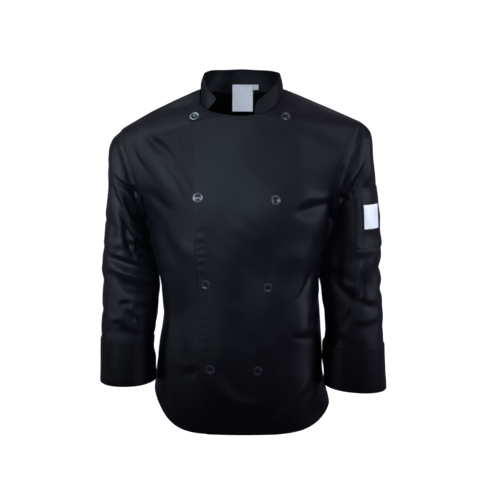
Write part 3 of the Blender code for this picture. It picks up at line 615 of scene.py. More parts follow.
    def half_panel(self, side: Side, face: int) -> Array:
        """Returns half the front (face 1) or half the back (face -1), hem first.

        Args:
            side: The wearer's side.
            face: 1 for the front and -1 for the back.

        Returns:
            Rows and columns of points.
        """
        s = self.sizes
        grid = []
        levels = curve_at(BODY_ROWS, np.arange(self.steps.body) * (len(BODY_ROWS) - 1) / self.steps.body)
        for values in levels:
            row = BodyRow(*values)
            depth = row.front_y if face > 0 else row.back_y
            out_x, out_z = (row.left_x, row.left_z) if side is Side.LEFT else (row.right_x, row.right_z)
            inner = (0.0, depth, row.centre_z)
            outer = (side.value * out_x, 0.0, out_z)
            grid.append(self.section(inner, outer, row.square, row.bend, 0.0, lap_reach(row.centre_z)))
        rows = CHEST_ROWS if face > 0 else BLADE_ROWS
        bow_size = s.shoulder_bow if side is Side.RIGHT else 0.0
        for step in range(self.steps.arm + 1):
            angle = 180.0 * (1 - step / self.steps.arm)
            bow = bow_size * max(1 - angle / s.shoulder_bow_angle, 0.0)
            if angle > s.neck_start:
                place = (180.0 - angle) / (180.0 - s.neck_start) * (len(rows) - 1)
                row = FanRow(*curve_at(rows, np.array(place)))
                inner = (0.0, row.centre_y, row.centre_z)
                bend = s.fan_bend
            else:
                row = rows[-1]
                turn = 90.0 * (1 - angle / s.neck_start)
                bend = s.fan_bend - turn / 90.0
                inner = self.neckline(side, turn if face > 0 else 180.0 - turn)
            outer = self.sleeve(side, 0.0, angle * face)
            grid.append(self.section(inner, outer, row.square, bend, bow, lap_reach(float(inner[2]))))
        return relaxed(np.array(grid), self.steps.relax)

    def neck_row(self) -> int:
        """Returns the row of a half panel that meets the neckline at the centre."""
        return self.steps.body + round((180.0 - self.sizes.neck_start) / 180.0 * self.steps.arm)

    def stride(self) -> float:
        """Returns the step round the neckline between two rows, in degrees."""
        return 90.0 * (180.0 / self.steps.arm) / self.sizes.neck_start

    def lap(self, side: Side, half: Array) -> Array:
        """Returns the lap that reaches past the centre front to one side.

        Args:
            side: The side that it reaches to.
            half: That side's half panel.

        Returns:
            Rows and columns of points.
        """
        top = self.sizes.lap_top_right if side is Side.RIGHT else self.sizes.lap_top_left
        last = self.neck_row() + round(top / self.stride())
        grid = half[:last + 1, :self.steps.lap + 1].copy()
        coarse = self.steps.coarse
        for row in range(self.neck_row() + 1, last + 1):
            grow = min((row - self.neck_row()) / coarse, 1.0)
            line = grid[row]
            toward = unit(line[coarse] - line[0])
            for column in range(coarse):
                line[column] += toward * self.sizes.lap_clear * grow * (1 - column / coarse)
        return grid

    def collar(self) -> Array:
        """Returns the stand collar, from its right end round the back to its left end.

        Returns:
            Rows and columns of points, seam first.
        """
        s = self.sizes
        count = round((s.collar_start - s.collar_end) / self.stride())
        angle = s.collar_start - self.stride() * np.arange(count + 1)
        table = np.array(COLLAR_ROWS)[::-1]
        seam = np.where(
            (angle >= -180.0)[:, None],
            self.neckline(Side.RIGHT, -angle),
            self.neckline(Side.LEFT, 360.0 + angle),
        )
        offset = read_line(angle, table[:, 0], table[:, 1:])
        for _ in range(self.steps.collar_even):
            offset[1:-1] = (offset[:-2] + 2 * offset[1:-1] + offset[2:]) / 4
        outward = unit(seam * (1.0, 1.0, 0.0))
        length = run_length(seam)
        from_end = np.minimum(length, length[-1] - length)
        tall = np.linalg.norm(offset, axis=1)
        inset = np.clip(s.collar_round - from_end, 0.0, s.collar_round)
        crown = (tall - s.collar_round + np.sqrt(s.collar_round ** 2 - inset ** 2)) / tall
        grid = []
        for level in range(self.steps.collar + 1):
            share = level / self.steps.collar * crown[:, None]
            grid.append(seam + offset * share + outward * s.collar_bow * np.sin(math.pi * share))
        return np.array(grid)


def lap_reach(height: float) -> float:
    """Returns how far a lap reaches past the centre front at one height."""
    return float(np.interp(height, LAP_HEIGHTS, LAP_REACHES))


class Net:
    """One piece's outside as merged points and four-sided faces.

    Attributes:
        name: The piece's name.
        points: The points.
        faces: The faces' corners.
        face_uv: Each face's corners on the flat cloth, in metres.
        grids: For each grid, the number of the point at each row and column.
        across: The outward direction at each point.
        reach: How much longer the wall is at each point, where two pieces meet.
        crest: How much the creases raise each point.
        seams: The points that are sewn to other pieces.
        edges: The points on free edges.
        seam_gap: Each point's distance from a seam.
        edge_gap: Each point's distance from a free edge.
    """

    MERGE = 1e-6
    SEAM = 5e-6
    LEAST_DOT = -0.30
    MOST_REACH = 1.3

    def __init__(self, name: str, grids: Sequence[Array], flips: Sequence[bool],
                 closed: bool = False) -> None:
        """Merges the points that the grids share.

        Args:
            name: The piece's name.
            grids: Rows and columns of points, for each grid.
            flips: Whether each grid's faces are turned over.
            closed: Whether the columns run all round.
        """
        self.name = name
        stacked = np.concatenate([grid.reshape(-1, 3) for grid in grids])
        keys = np.round(stacked / self.MERGE).astype(np.int64)
        _, first, marks = np.unique(keys, axis=0, return_index=True, return_inverse=True)
        marks = marks.reshape(-1)
        self.points = stacked[first]
        self.grids = []
        faces = []
        face_uv = []
        start = 0
        for grid, flip in zip(grids, flips):
            rows, columns = grid.shape[:2]
            marked = marks[start:start + rows * columns].reshape(rows, columns)
            start += rows * columns
            self.grids.append(marked)
            flat = self._flat(grid, closed)
            if closed:
                marked = np.concatenate((marked, marked[:, :1]), axis=1)
            corners = (marked[:-1, :-1], marked[:-1, 1:], marked[1:, 1:], marked[1:, :-1])
            places = (flat[:-1, :-1], flat[:-1, 1:], flat[1:, 1:], flat[1:, :-1])
            quads = np.stack(corners, axis=-1).reshape(-1, 4)
            uv = np.stack(places, axis=-2).reshape(-1, 4, 2)
            faces.append(quads[:, ::-1] if flip else quads)
            face_uv.append(uv[:, ::-1] if flip else uv)
        self.faces = np.concatenate(faces)
        self.face_uv = np.concatenate(face_uv)
        self.crest = np.zeros(len(self.points))
        self.across = self.facing()
        self.reach = np.ones(len(self.points))
        self.seams = np.zeros(0, dtype=int)
        self.edges = np.unique(self.rim())
        self.seam_gap = np.full(len(self.points), FAR)
        self.edge_gap = self.gap(self.edges)

    @staticmethod
    def _flat(grid: Array, closed: bool) -> Array:
        """Returns a grid's places on the flat cloth.

        Args:
            grid: Rows and columns of points.
            closed: Whether the columns run all round.

        Returns:
            Two lengths for each point.
        """
        if closed:
            grid = np.concatenate((grid, grid[:, :1]), axis=1)
        across = np.linalg.norm(np.diff(grid, axis=1), axis=2).mean(axis=0)
        upward = np.linalg.norm(np.diff(grid, axis=0), axis=2).mean(axis=1)
        u, v = (np.concatenate(((0.0,), np.cumsum(step))) for step in (across, upward))
        return np.stack(np.meshgrid(u, v), axis=-1)

    def facing(self) -> Array:
        """Returns the piece's own outward direction at each point.

        Returns:
            Unit vectors.
        """
        corners = self.points[self.faces]
        normal = np.cross(corners[:, 2] - corners[:, 0], corners[:, 3] - corners[:, 1])
        total = np.zeros_like(self.points)
        for corner in range(4):
            np.add.at(total, self.faces[:, corner], normal)
        return unit(total)

    def rim(self) -> Array:
        """Returns the free edges, each in the direction that its face runs.

        Returns:
            Pairs of point numbers.
        """
        edges = np.concatenate([self.faces[:, (corner, (corner + 1) % 4)] for corner in range(4)])
        edges = edges[edges[:, 0] != edges[:, 1]]
        size = len(self.points)
        forward = edges[:, 0] * size + edges[:, 1]
        backward = edges[:, 1] * size + edges[:, 0]
        return edges[~np.isin(forward, backward)]

    def seam_keys(self, marks: Array) -> list[tuple[int, ...]]:
        """Returns the rounded places of some points, to find those that pieces share."""
        return [tuple(row) for row in np.round(self.points[marks] / self.SEAM).astype(np.int64).tolist()]

    def among(self, marks: Array) -> Array:
        """Returns whether each point is among some marks."""
        return np.isin(np.arange(len(self.points)), marks)

    def gap(self, marks: Array) -> Array:
        """Returns each point's distance to the nearest of some marks."""
        return distance_to(self.points, self.points[marks])

    def push(self, amount: Array) -> None:
        """Moves each point outwards by its own amount."""
        self.points = self.points + self.across * amount[:, None]

    def tree(self) -> BVHTree:
        """Returns a search tree of the outside."""
        return BVHTree.FromPolygons(self.points.tolist(), self.faces.tolist())


def rim_book(nets: Sequence[Net]) -> dict[tuple[int, ...], list[tuple[Net, int]]]:
    """Returns the pieces and the points of their rims that lie at each place.

    Args:
        nets: The pieces.

    Returns:
        Pairs of a piece and a point's number, by the place's key.
    """
    book: dict[tuple[int, ...], list[tuple[Net, int]]] = {}
    for net in nets:
        marks = np.unique(net.rim())
        for key, mark in zip(net.seam_keys(marks), marks.tolist()):
            book.setdefault(key, []).append((net, mark))
    return book


def share_normals(nets: Sequence[Net]) -> None:
    """Gives pieces that meet at a seam the same direction there.

    Args:
        nets: The sewn pieces.
    """
    for net in nets:
        net.across = net.facing()
        net.reach = np.ones(len(net.points))
    for pairs in rim_book(nets).values():
        normals = [net.across[mark].copy() for net, mark in pairs]
        for (net, mark), own in zip(pairs, normals):
            found = [normal for normal in normals if float(np.dot(normal, own)) > Net.LEAST_DOT]
            if len(found) < 2:
                continue
            mean = unit(np.sum(found, axis=0))
            net.across[mark] = mean
            net.reach[mark] = min(1 / min(float(np.dot(mean, normal)) for normal in found), Net.MOST_REACH)


def nearest(values: Array, wanted: float) -> int:
    """Returns the number of the value that is nearest to the wanted one."""
    return int(np.abs(values - wanted).argmin())


def distance_to(points: Array, targets: Array) -> Array:
    """Returns each point's distance to the nearest target.

    Args:
        points: The points.
        targets: The targets.

    Returns:
        The distances, which are long where there is no target.
    """
    if len(targets) == 0:
        return np.full(len(points), FAR)
    tree = KDTree(len(targets))
    for number, place in enumerate(targets.tolist()):
        tree.insert(place, number)
    tree.balance()
    return np.array([tree.find(place)[2] for place in points.tolist()])


def along_and_aside(points: Array, axis: int, row: "Fold | Crease") -> tuple[Array, Array]:
    """Returns where points lie along and beside a fold or a crease that is seen square on.

    Args:
        points: The points.
        axis: The level axis that the row's first value lies on.
        row: The fold or the crease.

    Returns:
        The places along it and beside it, upper side first.
    """
    lean = math.radians(row.lean)
    level = points[:, axis] - row[0]
    upright = points[:, 2] - row.z
    along = level * math.cos(lean) + upright * math.sin(lean)
    aside = upright * math.cos(lean) - level * math.sin(lean)
    return along, -aside if math.cos(lean) < 0 else aside


@dataclass(frozen=True)
class Creases:
    """The creases that are seen square on from one direction."""

    rows: Sequence[Crease]
    axis: int
    toward: Triple
    gain: float = 1.0
    bow: float = 0.09
    bow_turn: float = 2.1
    bow_start: float = 0.7
    waver: float = 0.25
    waver_turn: float = 2.4
    shoulder_place: float = 1.7
    shoulder_width: float = 1.2

    def amount(self, points: Array, normals: Array) -> Array:
        """Returns how far the creases move each point.

        Args:
            points: The points.
            normals: Their outward directions.

        Returns:
            The distances.
        """
        facing = np.clip(normals @ np.array(self.toward), 0.0, 1.0)
        total = np.zeros(len(points))
        for number, row in enumerate(self.rows):
            along, aside = along_and_aside(points, self.axis, row)
            bow = self.bow * math.sin(self.bow_turn * number + self.bow_start)
            aside = aside - bow * along ** 2 / row.half_length
            wave = np.sin(self.waver_turn * along / row.half_length + number)
            place = aside / (row.half_width * (1 + self.waver * wave))
            side = self.shoulder_place if row.shoulder >= 0 else -self.shoulder_place
            beside = abs(row.shoulder) * np.exp(-((place - side) / self.shoulder_width) ** 2)
            spread = np.exp(-np.abs(along / row.half_length) ** 3)
            total += row.depth * (np.exp(-place ** 2) - beside) * spread
        return total * facing * self.gain


class Ripples(NamedTuple):
    """Low, soft unevenness of hanging cloth, from crossing waves between two lengths."""

    seed: int
    height: float
    shortest: float
    longest: float

    def amount(self, points: Array, shift: int = 0) -> Array:
        """Returns the unevenness at each point.

        Args:
            points: The points.
            shift: What is added to the seed, so that a pair of pieces isn't alike.

        Returns:
            The distances.
        """
        chance = np.random.default_rng(self.seed + shift)
        length = chance.uniform(self.shortest, self.longest, WAVE_COUNT)
        waves = unit(chance.normal(size=(WAVE_COUNT, 3))) * (2 * math.pi / length)[:, None]
        phases = chance.uniform(0, 2 * math.pi, WAVE_COUNT)
        return self.height / math.sqrt(WAVE_COUNT / 2) * np.sin(points @ waves.T + phases).sum(axis=1)


WAVE_COUNT = 16
BODY_RIPPLES = (Ripples(11, 0.0006, 0.090, 0.200), Ripples(12, 0.00012, 0.028, 0.060))
SLEEVE_RIPPLES = (Ripples(20, 0.0008, 0.060, 0.140), Ripples(30, 0.0003, 0.024, 0.050))
COLLAR_RIPPLES = Ripples(41, 0.0006, 0.030, 0.080)
CUFF_RIPPLES = Ripples(50, 0.0006, 0.040, 0.110)
POCKET_RIPPLES = Ripples(61, 0.00045, 0.022, 0.060)


def body_fold(points: Array, normals: Array) -> Array:
    """Returns how far the body's broad folds move each point.

    Args:
        points: The points.
        normals: Their outward directions.

    Returns:
        The distances.
    """
    total = np.zeros(len(points))
    for fold in FOLD_ROWS:
        along, aside = along_and_aside(points, 0, fold)
        spread = np.exp(-(along / fold.half_length) ** 2) * np.exp(-(aside / fold.half_width) ** 2)
        total += fold.depth * np.maximum(-normals[:, 1] * fold.face, 0.0) * spread
    return total


@dataclass(frozen=True)
class NodeKit:
    """Adds and joins the nodes of one material."""

    tree: bpy.types.NodeTree

    def feed(self, node: bpy.types.Node, inputs: dict[object, object]) -> None:
        """Sets or links a node's inputs.

        Args:
            node: The node.
            inputs: A socket or a value for each input, by its name or number.
        """
        for name, value in inputs.items():
            if isinstance(value, Socket):
                self.tree.links.new(value, node.inputs[name])
            elif value is not None:
                node.inputs[name].default_value = value

    def add(self, kind: str, inputs: dict[object, object], **settings: object) -> bpy.types.Node:
        """Adds a node.

        Args:
            kind: The node's type, without its prefix.
            inputs: A socket or a value for each input, by its name or number.
            settings: Its properties.

        Returns:
            The node.
        """
        node = self.tree.nodes.new("ShaderNode" + kind)
        for name, value in settings.items():
            setattr(node, name, value)
        self.feed(node, inputs)
        return node

    def math(self, operation: str, first: object, second: object) -> Socket:
        """Returns a sum of two sockets or numbers."""
        return self.add("Math", {0: first, 1: second}, operation=operation).outputs[0]

    def mix(self, share: Socket, first: object, second: object) -> Socket:
        """Returns a blend of two sockets or colours, with the second one's share."""
        return self.add("Mix", {0: share, 6: rgba(first), 7: rgba(second)}, data_type="RGBA").outputs[2]

    def ramp(self, value: Socket, *stops: tuple[float, float]) -> Socket:
        """Reads a value on a ramp of greys.

        Args:
            value: The value's socket.
            stops: Places and greys.

        Returns:
            The result's socket.
        """
        node = self.add("ValToRGB", {0: value})
        band = node.color_ramp.elements
        while len(band) < len(stops):
            band.new(0.5)
        for stop, (place, grey) in zip(band, stops):
            stop.position = place
            stop.color = (grey, grey, grey, 1.0)
        return node.outputs[0]

    def measure(self, name: str) -> Socket:
        """Returns a measure that the piece's points carry."""
        return self.add("Attribute", {}, attribute_name=name).outputs["Fac"]

    def noise(self, scale: float, detail: float = 2.0) -> Socket:
        """Returns a soft uneven value over the object, coarser with a smaller scale."""
        place = self.add("TexCoord", {}).outputs["Object"]
        return self.add("TexNoise", {"Vector": place, "Scale": scale, "Detail": detail}).outputs[0]

    def bands(self, size: float, turn: float = 0.0, direction: str = "X",
              waver: float = 0.0) -> Socket:
        """Returns even bands on the flat cloth.

        Args:
            size: The width of a band and its gap, in metres.
            turn: How far the cloth is turned, in degrees.
            direction: The axis that they follow one another on.
            waver: How much they waver.

        Returns:
            The bands' socket.
        """
        cloth = self.add("UVMap", {}, uv_map="cloth").outputs[0]
        place = self.add("Mapping", {"Vector": cloth, "Rotation": (0.0, 0.0, math.radians(turn)),
                                     "Scale": (1 / size, 1 / size, 1.0)})
        inputs = {"Vector": place.outputs[0], "Scale": math.pi / 10, "Distortion": waver,
                  "Detail Scale": 0.5}
        wave = self.add("TexWave", inputs, wave_type="BANDS", bands_direction=direction, wave_profile="SIN")
        return wave.outputs["Fac"]

    def bump(self, height: Socket, strength: float, distance: float,
             under: Optional[Socket] = None) -> Socket:
        """Returns the directions of a raised surface.

        Args:
            height: How high each place is.
            strength: How much of it shows.
            distance: The height's full size.
            under: The directions of a coarser relief below it.

        Returns:
            The directions' socket.
        """
        inputs = {"Height": height, "Strength": strength, "Distance": distance, "Normal": under}
        return self.add("Bump", inputs).outputs[0]


def rgba(colour: object) -> object:
    """Returns a colour at full strength, and a socket as it is."""
    return (*colour, 1.0) if isinstance(colour, tuple) else colour


def new_material(name: str) -> tuple[Material, NodeKit, bpy.types.Node]:
    """Makes a material with its shader.

    Args:
        name: The material's name.

    Returns:
        The material, its node kit and its shader.
    """
    material = bpy.data.materials.new(name)
    material.use_nodes = True
    return material, NodeKit(material.node_tree), material.node_tree.nodes["Principled BSDF"]


@dataclass(frozen=True)
class TwillFinish:
    """Black cotton twill: diagonal ribs, yarn, faded places, worn edges, a painted highlight on the crease
    ridges, and seam grooves.
    """

    name: str
    colour: Triple = (0.0021, 0.0021, 0.0032)
    faded: Triple = (0.0034, 0.0036, 0.0050)
    # The colour of worn edges and seams, also used as a painted highlight on the crease ridges.
    worn: Triple = (0.0110, 0.0115, 0.0140)
    between_ribs: Triple = (0.0015, 0.0015, 0.0025)
    rib: float = 0.00075
    rib_turn: float = 58.0
    rib_height: float = 0.00016
    rib_waver: float = 0.6
    yarn_size: float = 0.7
    yarn_share: float = 0.35
    fuzz_scale: float = 900.0
    fuzz_share: float = 0.5
    pucker_scale: float = 160.0
    pucker_share: float = 1.6
    patch_scale: float = 9.0
    patch_roughness: float = 0.14
    groove: float = 0.0007
    groove_reach: float = 0.02
    groove_strength: float = 0.8
    weave_strength: float = 0.45
    full_crest: float = 0.004
    roughness: float = 0.40
    gloss: float = 0.125
    sheen: float = 0.01
    sheen_roughness: float = 0.45
    sheen_tint: Triple = (0.75, 0.82, 1.0)
    seam_line: float = 0.0062

    def make(self) -> Material:
        """Builds the material.

        Returns:
            The material.
        """
        material, kit, shader = new_material(self.name)
        ribs = kit.bands(self.rib, self.rib_turn, waver=self.rib_waver)
        yarn = kit.bands(self.rib * self.yarn_size, self.rib_turn - 90, waver=self.rib_waver)
        fuzz = kit.noise(self.fuzz_scale, 4.0)
        weave = kit.math("ADD", ribs, kit.math("MULTIPLY", yarn, self.yarn_share))
        weave = kit.math("ADD", weave, kit.math("MULTIPLY", fuzz, self.fuzz_share))

        near_seam = kit.math("MULTIPLY", kit.measure("seam_gap"), 1 / self.groove_reach)
        near_edge = kit.math("MULTIPLY", kit.measure("edge_gap"), 1 / self.groove_reach)
        border = kit.math("MINIMUM", near_seam, near_edge)
        line = self.seam_line / self.groove_reach
        stops = ((0.0, 0.0), (0.07, 1.0), (line - 0.05, 1.0), (line, 0.55), (line + 0.05, 1.0))
        groove = kit.math("MULTIPLY", kit.ramp(near_seam, *stops), kit.ramp(near_edge, *stops))
        by_seam = kit.ramp(border, (0.0, 1.0), (0.55, 0.0))
        crinkle = kit.math("MULTIPLY", kit.noise(self.pucker_scale), by_seam)
        crinkle = kit.math("MULTIPLY", crinkle, self.pucker_share)
        deep = kit.bump(kit.math("ADD", groove, crinkle), self.groove_strength, self.groove)

        patches = kit.noise(self.patch_scale, 5.0)
        tone = kit.mix(kit.ramp(patches, (0.35, 0.0), (0.75, 1.0)), self.colour, self.faded)
        tone = kit.mix(kit.ramp(ribs, (0.1, 0.45), (0.9, 0.0)), tone, self.between_ribs)
        rub = kit.ramp(border, (0.0, 0.35), (0.06, 0.0))
        # The crease ridges take the worn colour: a painted highlight on the raised cloth, added to the real
        # wear at edges and seams.
        crest = kit.math("MULTIPLY", kit.measure("crest"), 1 / self.full_crest)
        raised = kit.ramp(crest, (0.35, 0.0), (1.0, 0.35))
        wear_and_ridge_highlight = kit.math("MAXIMUM", rub, raised)
        wear_and_ridge_highlight = kit.math("MULTIPLY", wear_and_ridge_highlight, kit.ramp(fuzz, (0.4, 0.2), (0.7, 1.0)))
        rough = kit.math("MULTIPLY", patches, self.patch_roughness)
        kit.feed(shader, {
            "Normal": kit.bump(weave, self.weave_strength, self.rib_height, deep),
            "Base Color": kit.mix(wear_and_ridge_highlight, tone, self.worn),
            "Roughness": kit.math("ADD", rough, self.roughness - self.patch_roughness / 2),
            "Specular IOR Level": self.gloss,
            "Sheen Weight": self.sheen,
            "Sheen Roughness": self.sheen_roughness,
            "Sheen Tint": rgba(self.sheen_tint),
        })
        return material


@dataclass(frozen=True)
class ThreadFinish:
    """Polyester sewing thread with its twist."""

    name: str
    colour: Triple
    roughness: float = 0.50
    gloss: float = 0.40
    twist_scale: float = 900.0
    shadow: float = 0.55

    def make(self) -> Material:
        """Builds the material.

        Returns:
            The material.
        """
        material, kit, shader = new_material(self.name)
        place = kit.add("TexCoord", {}).outputs["Object"]
        inputs = {"Vector": place, "Scale": self.twist_scale, "Distortion": 1.5}
        twist = kit.add("TexWave", inputs, wave_type="BANDS", bands_direction="DIAGONAL").outputs["Fac"]
        dark = tuple(value * self.shadow for value in self.colour)
        kit.feed(shader, {
            "Normal": kit.bump(twist, 0.6, 0.0001),
            "Base Color": kit.mix(twist, dark, self.colour),
            "Roughness": self.roughness,
            "Specular IOR Level": self.gloss,
        })
        return material


@dataclass(frozen=True)
class LabelFinish:
    """White satin ribbon: fine weave, soft edges and a little greying."""

    name: str
    colour: Triple = (0.80, 0.79, 0.74)
    grey: Triple = (0.70, 0.69, 0.65)
    yarn: float = 0.00045
    fold: float = 0.0004
    fold_reach: float = 0.02
    cloud_scale: float = 40.0
    roughness: float = 0.55
    sheen: float = 0.1

    def make(self) -> Material:
        """Builds the material.

        Returns:
            The material.
        """
        material, kit, shader = new_material(self.name)
        weave = kit.math("MULTIPLY", kit.bands(self.yarn), kit.bands(self.yarn, direction="Y"))
        edge = kit.math("MULTIPLY", kit.measure("edge_gap"), 1 / self.fold_reach)
        fold = kit.ramp(edge, (0.0, 0.0), (0.05, 1.0), (0.1, 0.7), (0.14, 1.0))
        cloud = kit.ramp(kit.noise(self.cloud_scale), (0.35, 0.0), (0.8, 0.8))
        soft = kit.mix(cloud, self.colour, self.grey)
        kit.feed(shader, {
            "Normal": kit.bump(weave, 0.5, 0.0001, kit.bump(fold, 1.0, self.fold)),
            "Base Color": kit.mix(kit.ramp(weave, (0.0, 0.25), (0.5, 0.0)), soft, self.grey),
            "Roughness": self.roughness,
            "Sheen Weight": self.sheen,
        })
        return material


@dataclass(frozen=True)
class ButtonFinish:
    """Black moulded plastic with fine moulding haze and rubbed rims."""

    name: str
    colour: Triple = (0.010, 0.010, 0.014)
    rubbed: Triple = (0.040, 0.042, 0.050)
    roughness: float = 0.22
    haze_scale: float = 420.0
    haze_roughness: float = 0.2
    gloss: float = 0.35

    def make(self) -> Material:
        """Builds the material.

        Returns:
            The material.
        """
        material, kit, shader = new_material(self.name)
        haze = kit.noise(self.haze_scale, 6.0)
        rub = kit.math("MULTIPLY", kit.measure("rim"), kit.ramp(haze, (0.35, 0.2), (0.7, 1.0)))
        rough = kit.math("MULTIPLY", haze, self.haze_roughness)
        kit.feed(shader, {
            "Normal": kit.bump(haze, 0.15, 0.0001),
            "Base Color": kit.mix(rub, self.colour, self.rubbed),
            "Roughness": kit.math("ADD", rough, self.roughness - self.haze_roughness / 2),
            "Specular IOR Level": self.gloss,
        })
        return material


@dataclass(frozen=True)
class Palette:
    """The materials that the pieces share."""

    body: Material
    collar: Material
    cuff: Material
    label: Material
    neck_label: Material
    button: Material
    thread: Material
    white_thread: Material

    @classmethod
    def make(cls) -> "Palette":
        """Builds every material once.

        Returns:
            The palette.
        """
        return cls(
            body=TwillFinish("black_twill").make(),
            collar=TwillFinish("collar_twill", seam_line=0.0048).make(),
            cuff=TwillFinish("cuff_twill", rib_turn=32.0, seam_line=0.0055).make(),
            label=LabelFinish("white_ribbon").make(),
            # The neck ribbon is the white ribbon made darker: painted shade for the shade inside the neck.
            neck_label=LabelFinish("neck_ribbon_shaded", (0.70, 0.67, 0.65), (0.60, 0.57, 0.55)).make(),
            button=ButtonFinish("black_moulded").make(),
            thread=ThreadFinish("black_thread", (0.0030, 0.0030, 0.0042), gloss=0.05).make(),
            white_thread=ThreadFinish("white_thread", (0.70, 0.71, 0.73)).make(),
        )


class Cut(NamedTuple):
    """A piece of cloth before it was sewn: width, length and flat area."""

    width: float
    length: float
    area: float


def link_mesh(name: str, points: Array, faces: Sequence[Sequence[int]], finish: Material,
              sharp: float = 50.0) -> bpy.types.Object:
    """Makes an object from points and faces.

    Args:
        name: The object's name.
        points: The points.
        faces: The faces' corners.
        finish: The material.
        sharp: The angle at which an edge stays sharp.

    Returns:
        The object.
    """
    mesh = bpy.data.meshes.new(name)
    mesh.from_pydata(np.asarray(points).tolist(), [], [list(face) for face in faces])
    mesh.update()
    mesh.shade_smooth()
    mesh.set_sharp_from_angle(angle=math.radians(sharp))
    mesh.materials.append(finish)
    item = bpy.data.objects.new(name, mesh)
    bpy.context.scene.collection.objects.link(item)
    return item


def add_piece(item: bpy.types.Object, nodes: Sequence[str]) -> None:
    """Lets a piece ride on the body, and hides the solids that it stands for.

    Args:
        item: The piece.
        nodes: The solids that it replaces.
    """
    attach(item, BODY)
    if nodes:
        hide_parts(*nodes)
    LOG.info("%s: %d faces", item.name, len(item.data.polygons))


def add_measure(mesh: bpy.types.Mesh, name: str, values: Array) -> None:
    """Writes a measure for each point of a mesh, for its finish to read."""
    layer = mesh.attributes.new(name, "FLOAT", "POINT")
    layer.data.foreach_set("value", np.asarray(values, dtype=np.float32))


@dataclass(frozen=True)
class ClothPiece:
    """A thin shell of cloth on one net."""

    net: Net
    nodes: Sequence[str]
    slot: Slot
    finish: Material
    cut: Cut
    rests_on: Sequence[str]
    wall: float = SIZES.cloth

    def make(self) -> None:
        net = self.net
        count = len(net.points)
        inside = net.points - net.across * (self.wall * net.reach)[:, None]
        rim = net.rim()
        sides = np.stack((rim[:, 1], rim[:, 0], rim[:, 0] + count, rim[:, 1] + count), axis=1)
        faces = np.concatenate((net.faces, net.faces[:, ::-1] + count, sides))
        item = link_mesh(net.name + "_cloth", np.concatenate((net.points, inside)), faces, self.finish)
        flat = np.concatenate((net.face_uv, net.face_uv[:, ::-1], np.zeros((len(rim), 4, 2))))
        item.data.uv_layers.new(name="cloth").data.foreach_set("uv", flat.astype(np.float32).reshape(-1))
        for name, values in (("seam_gap", net.seam_gap), ("edge_gap", net.edge_gap), ("crest", net.crest)):
            add_measure(item.data, name, np.tile(values, 2))
        add_piece(item, self.nodes)


@dataclass(frozen=True)
class Stitching:
    """Rows of raised lockstitches, each a short bar with its ends sunk in the cloth."""

    pitch: float = 0.0034
    length: float = 0.0026
    radius: float = 0.00030
    sides: int = 5
    places: tuple[float, ...] = (-1.0, -0.6, 0.6, 1.0)
    heights: tuple[float, ...] = (-1.2, 0.55, 0.55, -1.2)
    widths: tuple[float, ...] = (0.5, 1.0, 1.0, 0.5)
    aim_step: float = 0.0005
    sharp: float = 180.0

    def along(self, path: Array, normals: Array) -> tuple[Array, Array]:
        """Sews stitches along a path.

        Args:
            path: Points on the cloth.
            normals: The cloth's outward directions there.

        Returns:
            The stitches' points and faces.
        """
        length = run_length(path)
        count = max(int(length[-1] / self.pitch), 1)
        middles = (np.arange(count) + 0.5) * length[-1] / count
        rings = []
        for place, height, width in zip(self.places, self.heights, self.widths):
            spot = middles + place * self.length / 2
            up = unit(read_line(spot, length, normals))
            ahead = read_line(spot + self.aim_step, length, path)
            across = unit(np.cross(up, ahead - read_line(spot - self.aim_step, length, path)))
            centre = read_line(spot, length, path) + up * height * self.radius
            for side in range(self.sides):
                turn = 2 * math.pi * side / self.sides
                rings.append(centre + (across * math.cos(turn) + up * math.sin(turn)) * self.radius * width)
        local = []
        for low in range(0, len(rings) - self.sides, self.sides):
            high = low + self.sides
            for side in range(self.sides):
                after = (side + 1) % self.sides
                local.append((low + side, high + side, high + after, low + after))
        faces = (np.array(local)[None] + (np.arange(count) * len(rings))[:, None, None]).reshape(-1, 4)
        return np.stack(rings, axis=1).reshape(-1, 3), faces

    def sew(self, name: str, paths: Sequence[Path], finish: Material) -> None:
        """Makes one object of all the stitches along several paths.

        Args:
            name: The object's name.
            paths: Pairs of points and outward directions.
            finish: The thread.
        """
        points = []
        faces = []
        start = 0
        for path, normals in paths:
            if len(path) < FEWEST_POINTS:
                continue
            more, quads = self.along(path, normals)
            points.append(more)
            faces.append(quads + start)
            start += len(more)
        item = link_mesh(name, np.concatenate(points), np.concatenate(faces), finish, self.sharp)
        add_piece(item, [])


# The shortest line that is sewn, and how often a line's directions and places are evened.
FEWEST_POINTS = 3
TANGENT_PASSES = 6
PATH_PASSES = 3
LEAST_STEP = 1e-5
BODY_STITCHES = Stitching()
TACKS = Stitching(pitch=0.0009, length=0.0014, radius=0.0006)
LABEL_STITCHES = Stitching(pitch=0.0024, length=0.0018, radius=0.00018)
BUTTON_THREADS = Stitching(pitch=0.0044, length=0.0034, radius=0.00042)


def rim_chains(net: Net, keep: Array) -> list[Array]:
    """Returns the stretches of a net's rim whose points are kept, in order.

    Args:
        net: The net.
        keep: Whether each point is kept.

    Returns:
        Lists of point numbers.
    """
    follow = {}
    for here, after in net.rim().tolist():
        if keep[here] and keep[after]:
            follow[here] = after
    reached = set(follow.values())
    starts = [mark for mark in follow if mark not in reached]
    chains = []
    seen: set[int] = set()
    for start in starts + list(follow):
        if start in seen:
            continue
        chain = [start]
        seen.add(start)
        while chain[-1] in follow and (follow[chain[-1]] not in seen or follow[chain[-1]] == start):
            chain.append(follow[chain[-1]])
            if chain[-1] == start:
                break
            seen.add(chain[-1])
        if len(chain) > FEWEST_POINTS:
            chains.append(np.array(chain))
    return chains


